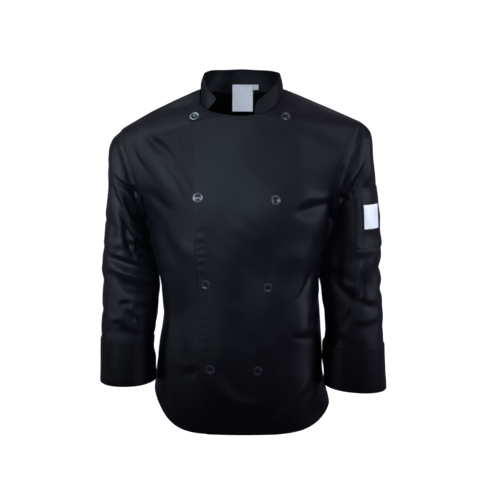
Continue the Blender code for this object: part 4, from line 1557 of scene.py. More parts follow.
def inset_paths(net: Net, keep: Array, inset: float) -> list[Path]:
    """Returns lines on a net that run beside its rim.

    Args:
        net: The net.
        keep: Which of its points count.
        inset: The distance from the rim.

    Returns:
        Pairs of points and outward directions.
    """
    tree = net.tree()
    paths = []
    for chain in rim_chains(net, keep):
        line = net.points[chain]
        normals = net.across[chain]
        tangent = np.gradient(line, axis=0)
        for _ in range(TANGENT_PASSES):
            tangent[1:-1] = (tangent[:-2] + tangent[1:-1] + tangent[2:]) / 3
        inward = unit(np.cross(normals, tangent))
        found = [tree.find_nearest(Vector(place)) for place in (line + inward * inset).tolist()]
        path = np.array([list(hit[0]) for hit in found])
        facing = np.array([list(hit[1]) for hit in found])
        for _ in range(PATH_PASSES):
            facing[1:-1] = (facing[:-2] + facing[1:-1] + facing[2:]) / 3
            path[1:-1] = (path[:-2] + 2 * path[1:-1] + path[2:]) / 4
        facing = unit(facing)
        kept = np.concatenate(((True,), np.linalg.norm(np.diff(path, axis=0), axis=1) > LEAST_STEP))
        paths.append((path[kept], facing[kept]))
    return paths


@dataclass(frozen=True)
class Pucker:
    """The gathered strip beside the top front's edge."""

    height: float = 0.0008
    spacing: float = 0.0180
    drift: float = 1.30
    drift_length: float = 0.083
    slant: float = 0.35
    middle: float = 0.0115
    half_width: float = 0.0070
    top: float = -0.200
    top_fade: float = 0.030
    mean_size: float = 0.55
    slow_swell: float = 0.30
    slow_length: float = 0.173
    quick_swell: float = 0.25
    quick_length: float = 0.061

    def amount(self, height: Array, gap: Array) -> Array:
        """Returns how far the puckers move the cloth.

        Args:
            height: Each point's height.
            gap: Its distance from the edge.

        Returns:
            The distances.
        """
        circle = 2 * math.pi
        turn = circle * (height - self.slant * gap) / self.spacing
        turn = turn + self.drift * np.sin(circle * height / self.drift_length)
        size = self.mean_size + self.slow_swell * np.sin(circle * height / self.slow_length + 1.1)
        size = size + self.quick_swell * np.sin(circle * height / self.quick_length)
        size = size * ease((self.top - height) / self.top_fade)
        return self.height * size * np.sin(turn) * np.exp(-((gap - self.middle) / self.half_width) ** 2)


@dataclass(frozen=True)
class Sewing:
    """Sizes of the seams, hems and topstitching."""

    fade: float = 0.012
    sleeve_fade_in: float = 0.005
    crease_gain: float = 1.8
    sleeve_crease_gain: float = 1.9
    armhole_x: float = 0.086
    armhole_z: float = -0.275
    # The dip beside the front of each armhole: depth, distance of its middle and half width.
    dip_right: Triple = (0.0036, 0.0095, 0.0065)
    dip_left: Triple = (0.0048, 0.0150, 0.0110)
    dip_facing: tuple[float, float] = (0.2, 0.5)
    dip_top: float = -0.100
    dip_fade: float = 0.040
    groove: float = 0.0009
    groove_width: float = 0.0030
    hem_depth: float = 0.015
    hem_raise: float = 0.0004
    hem_step: float = 0.003
    edge_stitch: float = 0.0060
    collar_stitch: float = 0.0048
    collar_stitch_rise: float = 0.55
    collar_stitch_end: int = 6
    armhole_stitch: float = 0.0060
    cuff_stitches: tuple[float, float] = (0.0055, 0.0115)
    collar_fade: float = 6.0
    sleeve_fade: float = 8.0
    cuff_fade: float = 0.030


class Tailor:
    """Cuts the body, the collar and the sleeves, folds them and joins them at their seams."""

    def __init__(self, form: Form, sewing: Sewing, pucker: Pucker) -> None:
        """Cuts every piece and finds where they meet.

        Args:
            form: The jacket's form.
            sewing: Sizes of the seams and hems.
            pucker: The gathered strip.
        """
        self.form = form
        self.sewing = sewing
        self.pucker = pucker
        halves = {(side, face): form.half_panel(side, face) for side in Side for face in (1, -1)}
        right, left = halves[Side.RIGHT, 1], halves[Side.LEFT, 1]
        self.front_right = Net("front_right", (right, form.lap(Side.LEFT, left)), (True, False))
        self.front_left = Net("front_left", (left, form.lap(Side.RIGHT, right)), (False, True))
        self.back = Net("back", (halves[Side.RIGHT, -1], halves[Side.LEFT, -1]), (False, True))
        self.collar = Net("collar", (form.collar(),), (True,))
        self.sleeves = {side: self._sleeve(side) for side in Side}
        self.body = (self.front_right, self.front_left, self.back)
        self.nets = (*self.body, self.collar, *self.sleeves.values())
        self._find_seams()

    def _sleeve(self, side: Side) -> Net:
        """Cuts one side's sleeve.

        Args:
            side: The wearer's side.

        Returns:
            The sleeve.
        """
        steps = self.form.steps
        along = (np.arange(steps.sleeve + 1) / steps.sleeve * self.form.sizes.sleeve_end)[:, None]
        angle = (np.arange(2 * steps.arm) * 180.0 / steps.arm)[None]
        flat = np.zeros((steps.sleeve + 1, 2 * steps.arm))
        grid = self.form.sleeve_out(side, along + flat, angle + flat, flat)
        grid[0] = self.form.sleeve(side, 0.0, angle[0])
        return Net("sleeve_" + side.name.lower(), (grid,), (side is Side.RIGHT,), closed=True)

    def _find_seams(self) -> None:
        """Marks the points that are sewn and those that are free, and finds what each seam follows."""
        book = rim_book(self.nets)
        for net in self.nets:
            marks = np.unique(net.rim())
            sewn = np.array([len(book[key]) > 1 for key in net.seam_keys(marks)])
            net.seams, net.edges = marks[sewn], marks[~sewn]
        self.partners = {}
        for net in (self.collar, *self.sleeves.values()):
            spots = [book.get(key, []) for key in net.seam_keys(net.grids[0][0])]
            found = [[pair for pair in spot if pair[0] in self.body] for spot in spots]
            self.partners[net.name] = [pairs[0] if pairs else None for pairs in found]

    def _move_body(self, amounts: Sequence[Array]) -> None:
        """Moves the body's cloth, and takes the collar's and the sleeves' seams along.

        Args:
            amounts: How far out each point of each body piece moves.
        """
        before = {net.name: net.points for net in self.body}
        for net, amount in zip(self.body, amounts):
            net.push(amount)
        followers = [(self.collar, self.sewing.collar_fade)]
        followers += [(net, self.sewing.sleeve_fade) for net in self.sleeves.values()]
        for net, rows in followers:
            marks = net.grids[0]
            shift = np.zeros((marks.shape[1], 3))
            for column, partner in enumerate(self.partners[net.name]):
                if partner:
                    other, mark = partner
                    shift[column] = other.points[mark] - before[other.name][mark]
            fade = 1 - ease(np.arange(marks.shape[0]) / rows)
            net.points[marks] += fade[:, None, None] * shift[None]
        share_normals(self.nets)

    def _lift(self, points: Array) -> Array:
        """Returns how far the top front lies off the one below it.

        Args:
            points: The top front's points.

        Returns:
            The distances.
        """
        s = self.form.sizes
        outward = ease((s.lift_end_x - points[:, 0]) / (s.lift_end_x - s.lift_full_x))
        upward = ease((s.lift_end_z - points[:, 2]) / (s.lift_end_z - s.lift_full_z))
        return s.lift * np.where(points[:, 0] <= 0, 1.0, outward * upward)

    def fold(self) -> None:
        """Gives every piece its folds, creases, puckers, seams and hems."""
        share_normals(self.nets)
        self._move_body([body_fold(net.points, net.across) for net in self.body])
        still = [np.zeros(len(net.points)) for net in self.body]
        self._move_body((still[0], self._lift(self.front_left.points), still[2]))
        self._crease_body()
        self._crease_sleeves()
        self._ripple_collar()
        share_normals(self.nets)
        for net in self.nets:
            net.seam_gap = net.gap(net.seams)
            net.edge_gap = net.gap(net.edges)
            net.push(-self.sewing.groove * np.exp(-(net.seam_gap / self.sewing.groove_width) ** 2))

    def _crease_body(self) -> None:
        """Gives the body its creases, its hem and the puckers beside the lap's edge."""
        fields = (
            Creases(FRONT_CREASES, 0, (0.0, -1.0, 0.0), self.sewing.crease_gain),
            Creases(BACK_CREASES, 0, (0.0, 1.0, 0.0)),
            Creases(SIDE_CREASES[Side.RIGHT], 1, (-1.0, 0.0, 0.0)),
            Creases(SIDE_CREASES[Side.LEFT], 1, (1.0, 0.0, 0.0)),
        )
        front_seams = np.concatenate([net.points[net.seams] for net in (self.front_right, self.front_left)])
        for net in self.body:
            amount = sum(field.amount(net.points, net.across) for field in fields)
            net.crest = np.maximum(amount, 0.0)
            for ripples in BODY_RIPPLES:
                amount = amount + ripples.amount(net.points)
            seams = net.points[net.seams] if net is self.back else front_seams
            amount = amount * ease(distance_to(net.points, seams) / self.sewing.fade)
            hem = net.gap(self._hem_marks(net))
            step = ease((self.sewing.hem_depth - hem) / self.sewing.hem_step)
            amount = amount + self.sewing.hem_raise * step
            if net is self.front_left:
                amount = amount + self.pucker.amount(net.points[:, 2], net.gap(net.grids[1][:, -1]))
            net.push(amount)

    def _crease_sleeves(self) -> None:
        """Gives the sleeves their creases, and the dip beside the armhole."""
        s = self.form.sizes
        for side, net in self.sleeves.items():
            fields = (
                Creases(ARM_FRONT_CREASES[side], 0, (0.0, -1.0, 0.0), self.sewing.sleeve_crease_gain),
                Creases(ARM_BACK_CREASES[side], 0, (0.0, 1.0, 0.0)),
                Creases(ARM_OUTER_CREASES[side], 1, (side.value, 0.0, 0.0)),
            )
            amount = sum(field.amount(net.points, net.across) for field in fields)
            net.crest = np.maximum(amount, 0.0)
            for ripples in SLEEVE_RIPPLES:
                amount = amount + ripples.amount(net.points, side.value)
            gap = net.gap(net.seams)
            depth, middle, width = self.sewing.dip_right if side is Side.RIGHT else self.sewing.dip_left
            least, span = self.sewing.dip_facing
            ahead = ease((-net.across[:, 1] - least) / span)
            ahead = ahead * ease((self.sewing.dip_top - net.points[:, 2]) / self.sewing.dip_fade)
            amount = amount - depth * ahead * np.exp(-((gap - middle) / width) ** 2)
            amount = amount * ease(gap / self.sewing.sleeve_fade_in)
            rows = net.grids[0].shape[0]
            along = np.arange(rows) / (rows - 1) * s.sleeve_end
            start = s.cuff_start_right if side is Side.RIGHT else s.cuff_start_left
            fade = np.zeros(len(net.points))
            fade[net.grids[0]] = ease((start - along) / self.sewing.cuff_fade)[:, None]
            net.push(amount * fade)

    def _ripple_collar(self) -> None:
        """Gives the collar its unevenness."""
        net = self.collar
        amount = COLLAR_RIPPLES.amount(net.points)
        net.push(amount * ease(net.gap(net.seams) / self.sewing.fade))

    @staticmethod
    def _hem_marks(net: Net) -> Array:
        """Returns the points on a body piece's hem."""
        return np.concatenate([grid[0] for grid in net.grids])

    def stitch_paths(self) -> list[Path]:
        """Returns the lines of topstitching on the body and the collar.

        Returns:
            Pairs of points and outward directions.
        """
        sewing = self.sewing
        paths = []
        for net in self.body:
            hem = net.among(self._hem_marks(net))
            paths += inset_paths(net, hem, sewing.hem_depth)
            sewn = net.among(net.seams)
            across, height = np.abs(net.points[:, 0]), net.points[:, 2]
            top = sewn & (across > sewing.armhole_x) & (height > sewing.armhole_z)
            if net is not self.back:
                free = net.among(net.edges) & ~hem
                paths += inset_paths(net, free, sewing.edge_stitch)
            paths += inset_paths(net, top, sewing.armhole_stitch)
        collar = self.collar.among(self.collar.edges)
        paths += inset_paths(self.collar, collar, sewing.collar_stitch)
        return paths

    def inner_collar_path(self) -> Path:
        """Returns the line of stitching inside the collar.

        Returns:
            Points and directions into the neck.
        """
        net = self.collar
        rows, columns = net.grids[0].shape
        end = self.sewing.collar_stitch_end
        marks = net.grids[0][round(rows * self.sewing.collar_stitch_rise), end:columns - end]
        return net.points[marks] - net.across[marks] * SIZES.cloth, -net.across[marks]


class Cuff:
    """A deep turned-back cuff with a rolled lower edge."""

    ROLL_STEPS = 8
    RETURN = 0.014
    RETURN_STEPS = 4
    DEEPEST = -0.0003
    TOP_SHARE = 0.2
    LOW_FADE = 4

    def __init__(self, tailor: Tailor, side: Side) -> None:
        """Cuts the cuff.

        Args:
            tailor: The tailor, with the finished sleeve.
            side: The wearer's side.
        """
        self.tailor = tailor
        self.side = side
        self.net = self._cut()

    def _cut(self) -> Net:
        """Cuts the cuff's cloth, from its top edge down, round the roll and back up inside.

        Returns:
            The cuff.
        """
        form = self.tailor.form
        s = form.sizes
        start = s.cuff_start_right if self.side is Side.RIGHT else s.cuff_start_left
        rows = SLEEVE_ROWS[self.side]
        length = sum(
            math.dist((a.outer_x, a.outer_z), (b.outer_x, b.outer_z)) for a, b in zip(rows[:-1], rows[1:])
        )
        out_end = s.lay_gap + s.wall + s.cuff_flare
        in_end = -(2 * s.cloth + s.lay_gap)
        middle, radius = (out_end + in_end) / 2, (out_end - in_end) / 2
        turn = 1.0 - radius / length
        share = np.linspace(0, 1, form.steps.cuff + 1)
        places = [(start + (turn - start) * part, s.lay_gap + s.wall + s.cuff_flare * part)
                  for part in share]
        for step in range(1, self.ROLL_STEPS + 1):
            angle = math.pi * step / self.ROLL_STEPS
            places.append((turn + radius / length * math.sin(angle), middle + radius * math.cos(angle)))
        for step in range(1, self.RETURN_STEPS + 1):
            places.append((turn - self.RETURN / length * step / self.RETURN_STEPS, in_end))
        along, out = np.array(places).T
        angle = np.arange(2 * form.steps.arm) * 180.0 / form.steps.arm
        flat = np.zeros((len(along), len(angle)))
        grid = form.sleeve_out(self.side, along[:, None] + flat, angle[None] + flat, out[:, None] + flat)
        net = Net("cuff_" + self.side.name.lower(), (grid,), (self.side is Side.RIGHT,), closed=True)
        top = ease(share * (1 - self.TOP_SHARE) + self.TOP_SHARE)
        ripple = CUFF_RIPPLES.amount(net.points, self.side.value)
        fade = np.ones(len(net.points))
        fade[net.grids[0]] = np.concatenate((top, np.zeros(len(along) - len(share))))[:, None]
        fade[net.grids[0][:len(share)]] *= ease((1 - share) * self.LOW_FADE)[:, None]
        net.push(np.maximum(ripple, self.DEEPEST) * fade)
        net.across = net.facing()
        net.edge_gap = net.gap(net.grids[0][0])
        return net

    def stitch_paths(self) -> list[Path]:
        """Returns the cuff's two lines of topstitching."""
        keep, sewing = self.net.among(self.net.grids[0][0]), self.tailor.sewing
        return [path for inset in sewing.cuff_stitches for path in inset_paths(self.net, keep, inset)]


class PatchSizes(NamedTuple):
    """Where a patch lies on the left sleeve: heights, and angles from its outer side to its front."""

    top: float
    bottom: float
    front: float
    back: float


POCKET = PatchSizes(-0.204, -0.330, 90.0, -15.0)
TAG = PatchSizes(-0.239, -0.289, 72.0, 32.0)
POCKET_CLOTH = 0.0012
TAG_CLOTH = 0.0006
TAG_STEPS = (32, 24)
TAG_CROWN = 0.0014
TAG_FADE = 0.010
TAG_LIFT = 0.0006
TAG_STITCH = 0.0016
PATCH_GAP = 0.0008


class SleevePatch:
    """A flat patch laid on the left sleeve."""

    SEARCH_STEPS = 34
    SEARCH_END = 0.9

    def __init__(self, tailor: Tailor, name: str, sizes: PatchSizes, out: float, rows: int,
                 columns: int) -> None:
        """Lays the patch on.

        Args:
            tailor: The tailor, with the finished sleeve.
            name: The patch's name.
            sizes: Where it lies.
            out: How far off the sleeve its outside is.
            rows: How many steps it has down.
            columns: How many steps it has across.
        """
        self.tailor = tailor
        height = np.linspace(sizes.top, sizes.bottom, rows + 1)[:, None]
        angle = np.linspace(sizes.front, sizes.back, columns + 1)[None]
        flat = np.zeros((rows + 1, columns + 1))
        self.net = Net(name, (self.at(height + flat, angle + flat, out + flat),), (True,))

    def at(self, height: Array, angle: Array, out: Array) -> Array:
        """Returns places over the finished sleeve at some heights and angles.

        Args:
            height: Heights.
            angle: Angles round the sleeve, in degrees.
            out: Distances from the sleeve.

        Returns:
            A point for each.
        """
        form = self.tailor.form
        low, high = np.zeros(height.shape), np.full(height.shape, self.SEARCH_END)
        for _ in range(self.SEARCH_STEPS):
            middle = (low + high) / 2
            above = form.sleeve(Side.LEFT, middle, angle)[..., 2] > height
            low, high = np.where(above, middle, low), np.where(above, high, middle)
        net = self.tailor.sleeves[Side.LEFT]
        marks = net.grids[0]
        row = np.clip(low / form.sizes.sleeve_end * (marks.shape[0] - 1), 0, marks.shape[0] - 1.001)
        column = (angle / 360.0 * marks.shape[1]) % marks.shape[1]
        row_at, column_at = row.astype(int), column.astype(int)
        after = (column_at + 1) % marks.shape[1]
        down, side = (row - row_at)[..., None], (column - column_at)[..., None]
        point = np.zeros((*height.shape, 3))
        normal = np.zeros((*height.shape, 3))
        for mark, share in (
            (marks[row_at, column_at], (1 - down) * (1 - side)),
            (marks[row_at, after], (1 - down) * side),
            (marks[row_at + 1, column_at], down * (1 - side)),
            (marks[row_at + 1, after], down * side),
        ):
            point += net.points[mark] * share
            normal += net.across[mark] * share
        return point + unit(normal) * out[..., None]


class SleevePocket(SleevePatch):
    """The narrow sleeve pocket with a turned top hem and a slot for a pen or a thermometer."""

    ROWS = 84
    COLUMNS = 64
    HEM = 0.018
    HEM_STEP = 0.0025
    HEM_RAISE = 0.0005
    SLOT = 0.014
    SLOT_LINE = 0.0028
    SLOT_DIP = 0.0006
    SLOT_BULGE = 0.0012
    SLOT_TACK = -0.276
    DEEPEST = -0.0005
    EDGE_FADE = 0.006
    STITCHES = (0.0022, 0.0082)
    TACK_STEPS = 8
    TRIM = 2

    def __init__(self, tailor: Tailor) -> None:
        """Lays the pocket on and gives it its hem, its slot and its unevenness.

        Args:
            tailor: The tailor, with the finished sleeve.
        """
        super().__init__(tailor, "sleeve_pocket", POCKET, PATCH_GAP + POCKET_CLOTH, self.ROWS, self.COLUMNS)
        net = self.net
        rows, columns = net.grids[0].shape
        down = run_length(net.points[net.grids[0][:, columns // 2]])
        across = run_length(net.points[net.grids[0][rows // 3]])
        hem = ease((self.HEM - down) / self.HEM_STEP)[:, None]
        slot = np.exp(-((across - self.SLOT) / self.SLOT_LINE) ** 2)[None]
        bulge = np.sin(math.pi * np.clip(across / self.SLOT, 0, 1))[None] ** 2 * self.SLOT_BULGE
        lift = np.zeros(len(net.points))
        lift[net.grids[0]] = hem * self.HEM_RAISE - slot * self.SLOT_DIP + bulge
        lift += POCKET_RIPPLES.amount(net.points)
        net.push(np.maximum(lift, self.DEEPEST) * ease(net.edge_gap / self.EDGE_FADE))
        net.across = net.facing()
        net.seam_gap = net.gap(net.grids[0][:, nearest(across, self.SLOT)])

    def _slot(self) -> int:
        """Returns the column of points that the slot's line runs down."""
        marks = self.net.grids[0]
        return nearest(run_length(self.net.points[marks[marks.shape[0] // 3]]), self.SLOT)

    def stitch_paths(self) -> list[Path]:
        """Returns the pocket's topstitching: edges, top hem and slot.

        Returns:
            Pairs of points and outward directions.
        """
        net = self.net
        marks = net.grids[0]
        sewn = net.among(np.concatenate((marks[:, 0], marks[-1], marks[:, -1])))
        hem = nearest(run_length(net.points[marks[:, marks.shape[1] // 2]]), self.HEM)
        trim = slice(self.TRIM, -self.TRIM)
        paths = [path for inset in self.STITCHES for path in inset_paths(net, sewn, inset)]
        return paths + [(net.points[line], net.across[line])
                        for line in (marks[hem, trim], marks[trim, self._slot()])]

    def tack_paths(self) -> list[Path]:
        """Returns the short dense bars that hold the pocket's corners and its slot.

        Returns:
            Pairs of points and outward directions.
        """
        net = self.net
        marks = net.grids[0]
        slot = self._slot()
        tack = nearest(net.points[marks[:, slot // 2], 2], self.SLOT_TACK)
        tall = slice(1, 1 + self.TACK_STEPS)
        lines = (marks[tall, 1], marks[tall, -2], marks[tall, slot], marks[tack, 1:slot])
        return [(net.points[line], net.across[line]) for line in lines]


class InsideLabel:
    """A bare label that hangs inside the back of the neck."""

    LEAN = 0.12
    CURL = 0.0006
    CURL_TURNS = (40, 90)
    STEP = 0.0016
    LEAST_STEPS = 6

    def __init__(self, tailor: Tailor, name: str, left: float, right: float, top: float,
                 bottom: float) -> None:
        """Hangs the label from the collar's inside.

        Args:
            tailor: The tailor, with the finished collar.
            name: The label's name.
            left: Its edge nearer the wearer's right.
            right: Its edge nearer the wearer's left.
            top: Its top.
            bottom: Its lower edge.
        """
        tree = tailor.collar.tree()
        rows = max(round((top - bottom) / self.STEP), self.LEAST_STEPS)
        columns = max(round((right - left) / self.STEP), self.LEAST_STEPS)
        turn_x, turn_z = self.CURL_TURNS
        depth = SIZES.wall + SIZES.lay_gap
        grid = np.zeros((rows + 1, columns + 1, 3))
        for column, x in enumerate(np.linspace(left, right, columns + 1)):
            hit = tree.ray_cast(Vector((x, 0.0, top)), Vector((0.0, 1.0, 0.0)))[0]
            for row, z in enumerate(np.linspace(top, bottom, rows + 1)):
                curl = self.CURL * math.sin(turn_x * x + turn_z * z) * (top - z) / (top - bottom)
                grid[row, column] = (x, hit.y - depth - self.LEAN * (top - z) - curl, z)
        self.net = Net(name, (grid,), (False,))

    def stitch_paths(self) -> list[Path]:
        """Returns the line that sews the label's top on."""
        line = self.net.grids[0][1, 1:-1]
        return [(self.net.points[line], self.net.across[line])]


class ButtonSpot(NamedTuple):
    """A button's name, its middle, and how far it leans up and turns to the left."""

    name: str
    x: float
    z: float
    lean: float = 0.0
    swing: float = 0.0
    PLAIN = ("name", "lean", "swing")


BUTTON_SPOTS = in_metres(ButtonSpot, (
    ("button_right_1", -94.5, -59, -5, 3), ("button_left_1", 88.5, -58.5, -4),
    ("button_right_2", -87, -217.5, 5, 4), ("button_left_2", 68, -222.5, 6, -1),
    ("button_right_3", -73, -397, -5), ("button_left_3", 53, -402.5, -5),
    ("button_right_4", -65, -574, -6), ("button_left_4", 32, -576, -6),
))


@dataclass(frozen=True)
class ButtonMaker:
    """Turned four-hole buttons, sewn on with two bars of thread."""

    radius: float = 0.0100
    thickness: float = 0.0032
    dish: float = 0.0009
    rim: float = 0.0042
    edge: float = 0.0008
    back_edge: float = 1.6
    hole: float = 0.0012 / 1.35
    hole_sides: int = 14
    spacing: float = 0.0029
    gap: float = 0.0004
    sides: int = 48
    sharp: float = 40.0
    reach: float = 0.0085
    rings: tuple[tuple[float, int], ...] = ((0.0, 1), (0.6, 8), (1.0, 12))
    # The slopes below the rim and into the dish: place beside the dish's edge, height and rub.
    rim_slope: tuple[Triple, ...] = (
        (0.0024, -0.00002, 0.8), (0.0008, -0.00010, 0.6), (0.0002, -0.00035, 0.3),
    )
    dish_slope: tuple[Triple, ...] = ((-0.0004, 0.0002, 0.1), (-0.0014, 0.0, 0.0))
    # The dish's floor: a share of the way out, its drop there and its drop at the middle.
    floor: Triple = (0.4, 0.0003, 0.00035)
    bore_over: float = 0.002
    thread_step: float = 0.0003
    thread_places: tuple[float, ...] = (-1.15, -0.4, 0.4, 1.15)

    def profile(self) -> list[Triple]:
        """Returns the turned section: distance from the axis, height, and 1 on the rubbed rim.

        Returns:
            The section from the back's middle to the front's middle.
        """
        back, top = self.edge * self.back_edge, self.thickness - self.edge
        rows = [(0.0, 0.0, 0.0), (self.radius - back, 0.0, 0.0)]
        for step in range(1, 6):
            turn = math.radians(-90 + 18 * step)
            rows.append((self.radius - back * (1 - math.cos(turn)), back * (1 + math.sin(turn)), 0.2))
        for step in range(0, 7):
            turn = math.radians(15 * step)
            across = self.radius - self.edge * (1 - math.cos(turn))
            rows.append((across, top + self.edge * math.sin(turn), 1.0))
        inner, dished = self.radius - self.rim, self.thickness - self.dish
        for level, slope in ((self.thickness, self.rim_slope), (dished, self.dish_slope)):
            rows += [(inner + out, level + height, rub) for out, height, rub in slope]
        share, hollow, middle = self.floor
        return rows + [(inner * share, dished - hollow, 0.0), (0.0, dished - middle, 0.0)]

    def turned(self, name: str, finish: Material) -> bpy.types.Object:
        """Turns a button and bores its four holes.

        Args:
            name: The button's name.
            finish: The material.

        Returns:
            The object.
        """
        rows = self.profile()
        circle = [2 * math.pi * side / self.sides for side in range(self.sides)]
        points = [(0.0, 0.0, rows[0][1])]
        for radius, height, _ in rows[1:-1]:
            points += [(radius * math.cos(turn), radius * math.sin(turn), height) for turn in circle]
        points.append((0.0, 0.0, rows[-1][1]))
        faces = []
        top = 1 + (len(rows) - 3) * self.sides
        for side in range(self.sides):
            after = (side + 1) % self.sides
            faces.append((0, 1 + after, 1 + side))
            for low in range(1, top, self.sides):
                high = low + self.sides
                faces.append((low + side, low + after, high + after, high + side))
            faces.append((top + side, top + after, len(points) - 1))
        item = link_mesh(name, np.array(points), faces, finish, self.sharp)
        rims = [0.0] + [rim for _, _, rim in rows[1:-1] for _ in circle] + [0.0]
        add_measure(item.data, "rim", rims)
        self._bore(item)
        return item

    def _bore(self, item: bpy.types.Object) -> None:
        """Cuts the four holes out of a turned button.

        Args:
            item: The button.
        """
        count = self.hole_sides
        points = []
        faces = []
        for across in (-1, 1):
            for along in (-1, 1):
                low = list(range(len(points), len(points) + count))
                high = [mark + count for mark in low]
                faces += [low[::-1], high]
                for side in range(count):
                    after = (side + 1) % count
                    faces.append((low[side], low[after], high[after], high[side]))
                for height in (-self.bore_over, self.thickness + self.bore_over):
                    for side in range(count):
                        turn = 2 * math.pi * side / count
                        points.append((
                            across * self.spacing / 2 + self.hole * math.cos(turn),
                            along * self.spacing / 2 + self.hole * math.sin(turn),
                            height,
                        ))
        mesh = bpy.data.meshes.new("bores")
        mesh.from_pydata(points, [], faces)
        tool = bpy.data.objects.new("bores", mesh)
        bpy.context.scene.collection.objects.link(tool)
        cut = item.modifiers.new("holes", "BOOLEAN")
        cut.operation = "DIFFERENCE"
        cut.solver = "EXACT"
        cut.object = tool
        bpy.context.view_layer.update()
        ready = item.evaluated_get(bpy.context.evaluated_depsgraph_get())
        item.data, blank = bpy.data.meshes.new_from_object(ready), item.data
        item.modifiers.clear()
        item.data.set_sharp_from_angle(angle=math.radians(self.sharp))
        bpy.data.objects.remove(tool)
        bpy.data.meshes.remove(blank)

    def place(self, net: Net, spot: ButtonSpot) -> Matrix:
        """Finds where a button sits on the top front.

        Args:
            net: The top front.
            spot: The button's place.

        Returns:
            Its matrix.
        """
        tree = net.tree()
        hits = []
        for ring, count in self.rings:
            for step in range(count):
                turn = 2 * math.pi * step / count
                x = spot.x + self.reach * ring * math.cos(turn)
                z = spot.z + self.reach * ring * math.sin(turn)
                location, normal = tree.ray_cast(Vector((x, -1.0, z)), Vector((0.0, 1.0, 0.0)))[:2]
                if location is not None:
                    hits.append((location, normal if normal.y < 0 else -normal))
        normal = sum((pair[1] for pair in hits), Vector()).normalized()
        normal = Matrix.Rotation(math.radians(spot.swing), 3, "Z") @ normal
        normal = Matrix.Rotation(math.radians(-spot.lean), 3, "X") @ normal
        centre = hits[0][0]
        above = max((pair[0] - centre).dot(normal) for pair in hits)
        across = Vector((0.0, 0.0, 1.0)).cross(normal).normalized()
        turn = Matrix((across, normal.cross(across), normal)).transposed().to_4x4()
        return Matrix.Translation(centre + normal * (above + self.gap)) @ turn

    def threads(self, matrix: Matrix) -> list[Path]:
        """Returns the two bars of thread across a button's holes.

        Args:
            matrix: The button's matrix.

        Returns:
            Pairs of points and outward directions.
        """
        top, half = self.thickness - self.dish, self.spacing / 2
        normal = list((matrix.to_3x3() @ Vector((0.0, 0.0, 1.0))).normalized())
        paths = []
        for across in (-half, half):
            for nudge in (-self.thread_step, self.thread_step):
                spots = [(across + nudge, half * share, top) for share in self.thread_places]
                line = np.array([list(matrix @ Vector(spot)) for spot in spots])
                paths.append((line, np.array([normal] * len(line))))
        return paths


@dataclass(frozen=True)
class Lamp:
    """One soft studio light."""

    name: str
    place: Triple
    aim: Triple
    width: float
    height: float
    power: float
    colour: Triple = (1.0, 1.0, 1.0)
    spread: float = 180.0

    def make(self) -> None:
        """Hangs the light, whose small spread stands for the honeycomb on its front."""
        data = bpy.data.lights.new(self.name, "AREA")
        data.shape = "RECTANGLE"
        data.size = self.width
        data.size_y = self.height
        data.energy = self.power
        data.color = self.colour
        data.spread = math.radians(self.spread)
        item = bpy.data.objects.new(self.name, data)
        item.location = self.place
        item.rotation_euler = (Vector(self.aim) - Vector(self.place)).to_track_quat("-Z", "Y").to_euler()
        bpy.context.scene.collection.objects.link(item)


LAMPS = (
    Lamp("key", (-0.42, -2.35, 0.55), (-0.06, 0.0, -0.1), 0.35, 0.32, 0.29, (0.63, 0.79, 1.0), 20.0),
    Lamp("low", (-0.75, -2.3, 0.05), (-0.15, 0.0, -0.31), 0.35, 0.35, 0.06, (0.65, 0.81, 1.0), 11.0),
    Lamp("chest_right", (-0.3, -2.3, 0.3), (-0.12, 0.0, -0.28), 0.35, 0.35, 0.155, (0.67, 0.91, 1.0), 12.0),
    Lamp("chest_left", (0.3, -2.3, 0.3), (0.12, 0.0, -0.25), 0.35, 0.35, 0.16, (0.67, 0.8, 1.0), 12.0),
    Lamp("waist", (1.5, -1.1, -0.1), (0.13, -0.1, -0.42), 0.25, 0.3, 0.105, (0.68, 0.74, 1.0), 11.0),
    Lamp("arm_right", (-1.2, -1.9, 0.1), (-0.22, 0.0, -0.3), 0.35, 0.35, 0.415, (0.68, 0.88, 1.0), 14.0),
    Lamp("arm_left", (1.2, -1.9, 0.3), (0.27, 0.0, -0.18), 0.35, 0.35, 0.165, (0.78, 0.9, 1.0), 12.0),
    Lamp("side_right", (-1.9, -0.6, 0.35), (-0.28, 0.0, -0.2), 0.35, 0.6, 0.62, (0.74, 0.88, 1.0), 22.0),
    Lamp("side_left", (1.9, -0.5, 0.35), (0.28, 0.0, -0.2), 0.4, 0.7, 0.95, (0.71, 0.8, 1.0), 28.0),
    Lamp("shoulder_right", (-0.9, -0.25, 1.8), (-0.2, -0.05, -0.07), 0.4, 0.4, 0.37,
         (0.72, 0.92, 1.0), 16.0),
    Lamp("shoulder_left", (0.85, -0.25, 1.8), (0.2, -0.05, -0.07), 0.4, 0.4, 0.09, (0.93, 0.83, 1.0), 16.0),
    Lamp("neck", (0.0, -1.2, 1.9), (0.0, 0.0, -0.03), 0.4, 0.4, 0.12, (0.81, 0.86, 1.0), 16.0),
    Lamp("high", (-0.8, -1.5, 1.7), (-0.02, 0.0, -0.04), 0.6, 0.6, 0.165, (0.85, 0.87, 1.0), 34.0),
    Lamp("top", (0.0, 0.2, 1.9), (0.0, 0.0, -0.1), 1.2, 0.8, 0.15, (0.9, 0.95, 1.0)),
    Lamp("rim_left", (2.0, 0.6, 0.35), (0.25, 0.0, -0.2), 0.5, 1.2, 0.25, (0.92, 0.96, 1.0)),
    Lamp("rim_right", (-2.0, 0.6, 0.2), (-0.25, 0.0, -0.3), 0.5, 1.4, 0.12, (0.94, 0.94, 1.0)),
    Lamp("behind", (0.4, 2.3, 1.2), (0.0, 0.0, -0.3), 1.4, 1.4, 3.0, (0.95, 0.98, 1.0)),
)


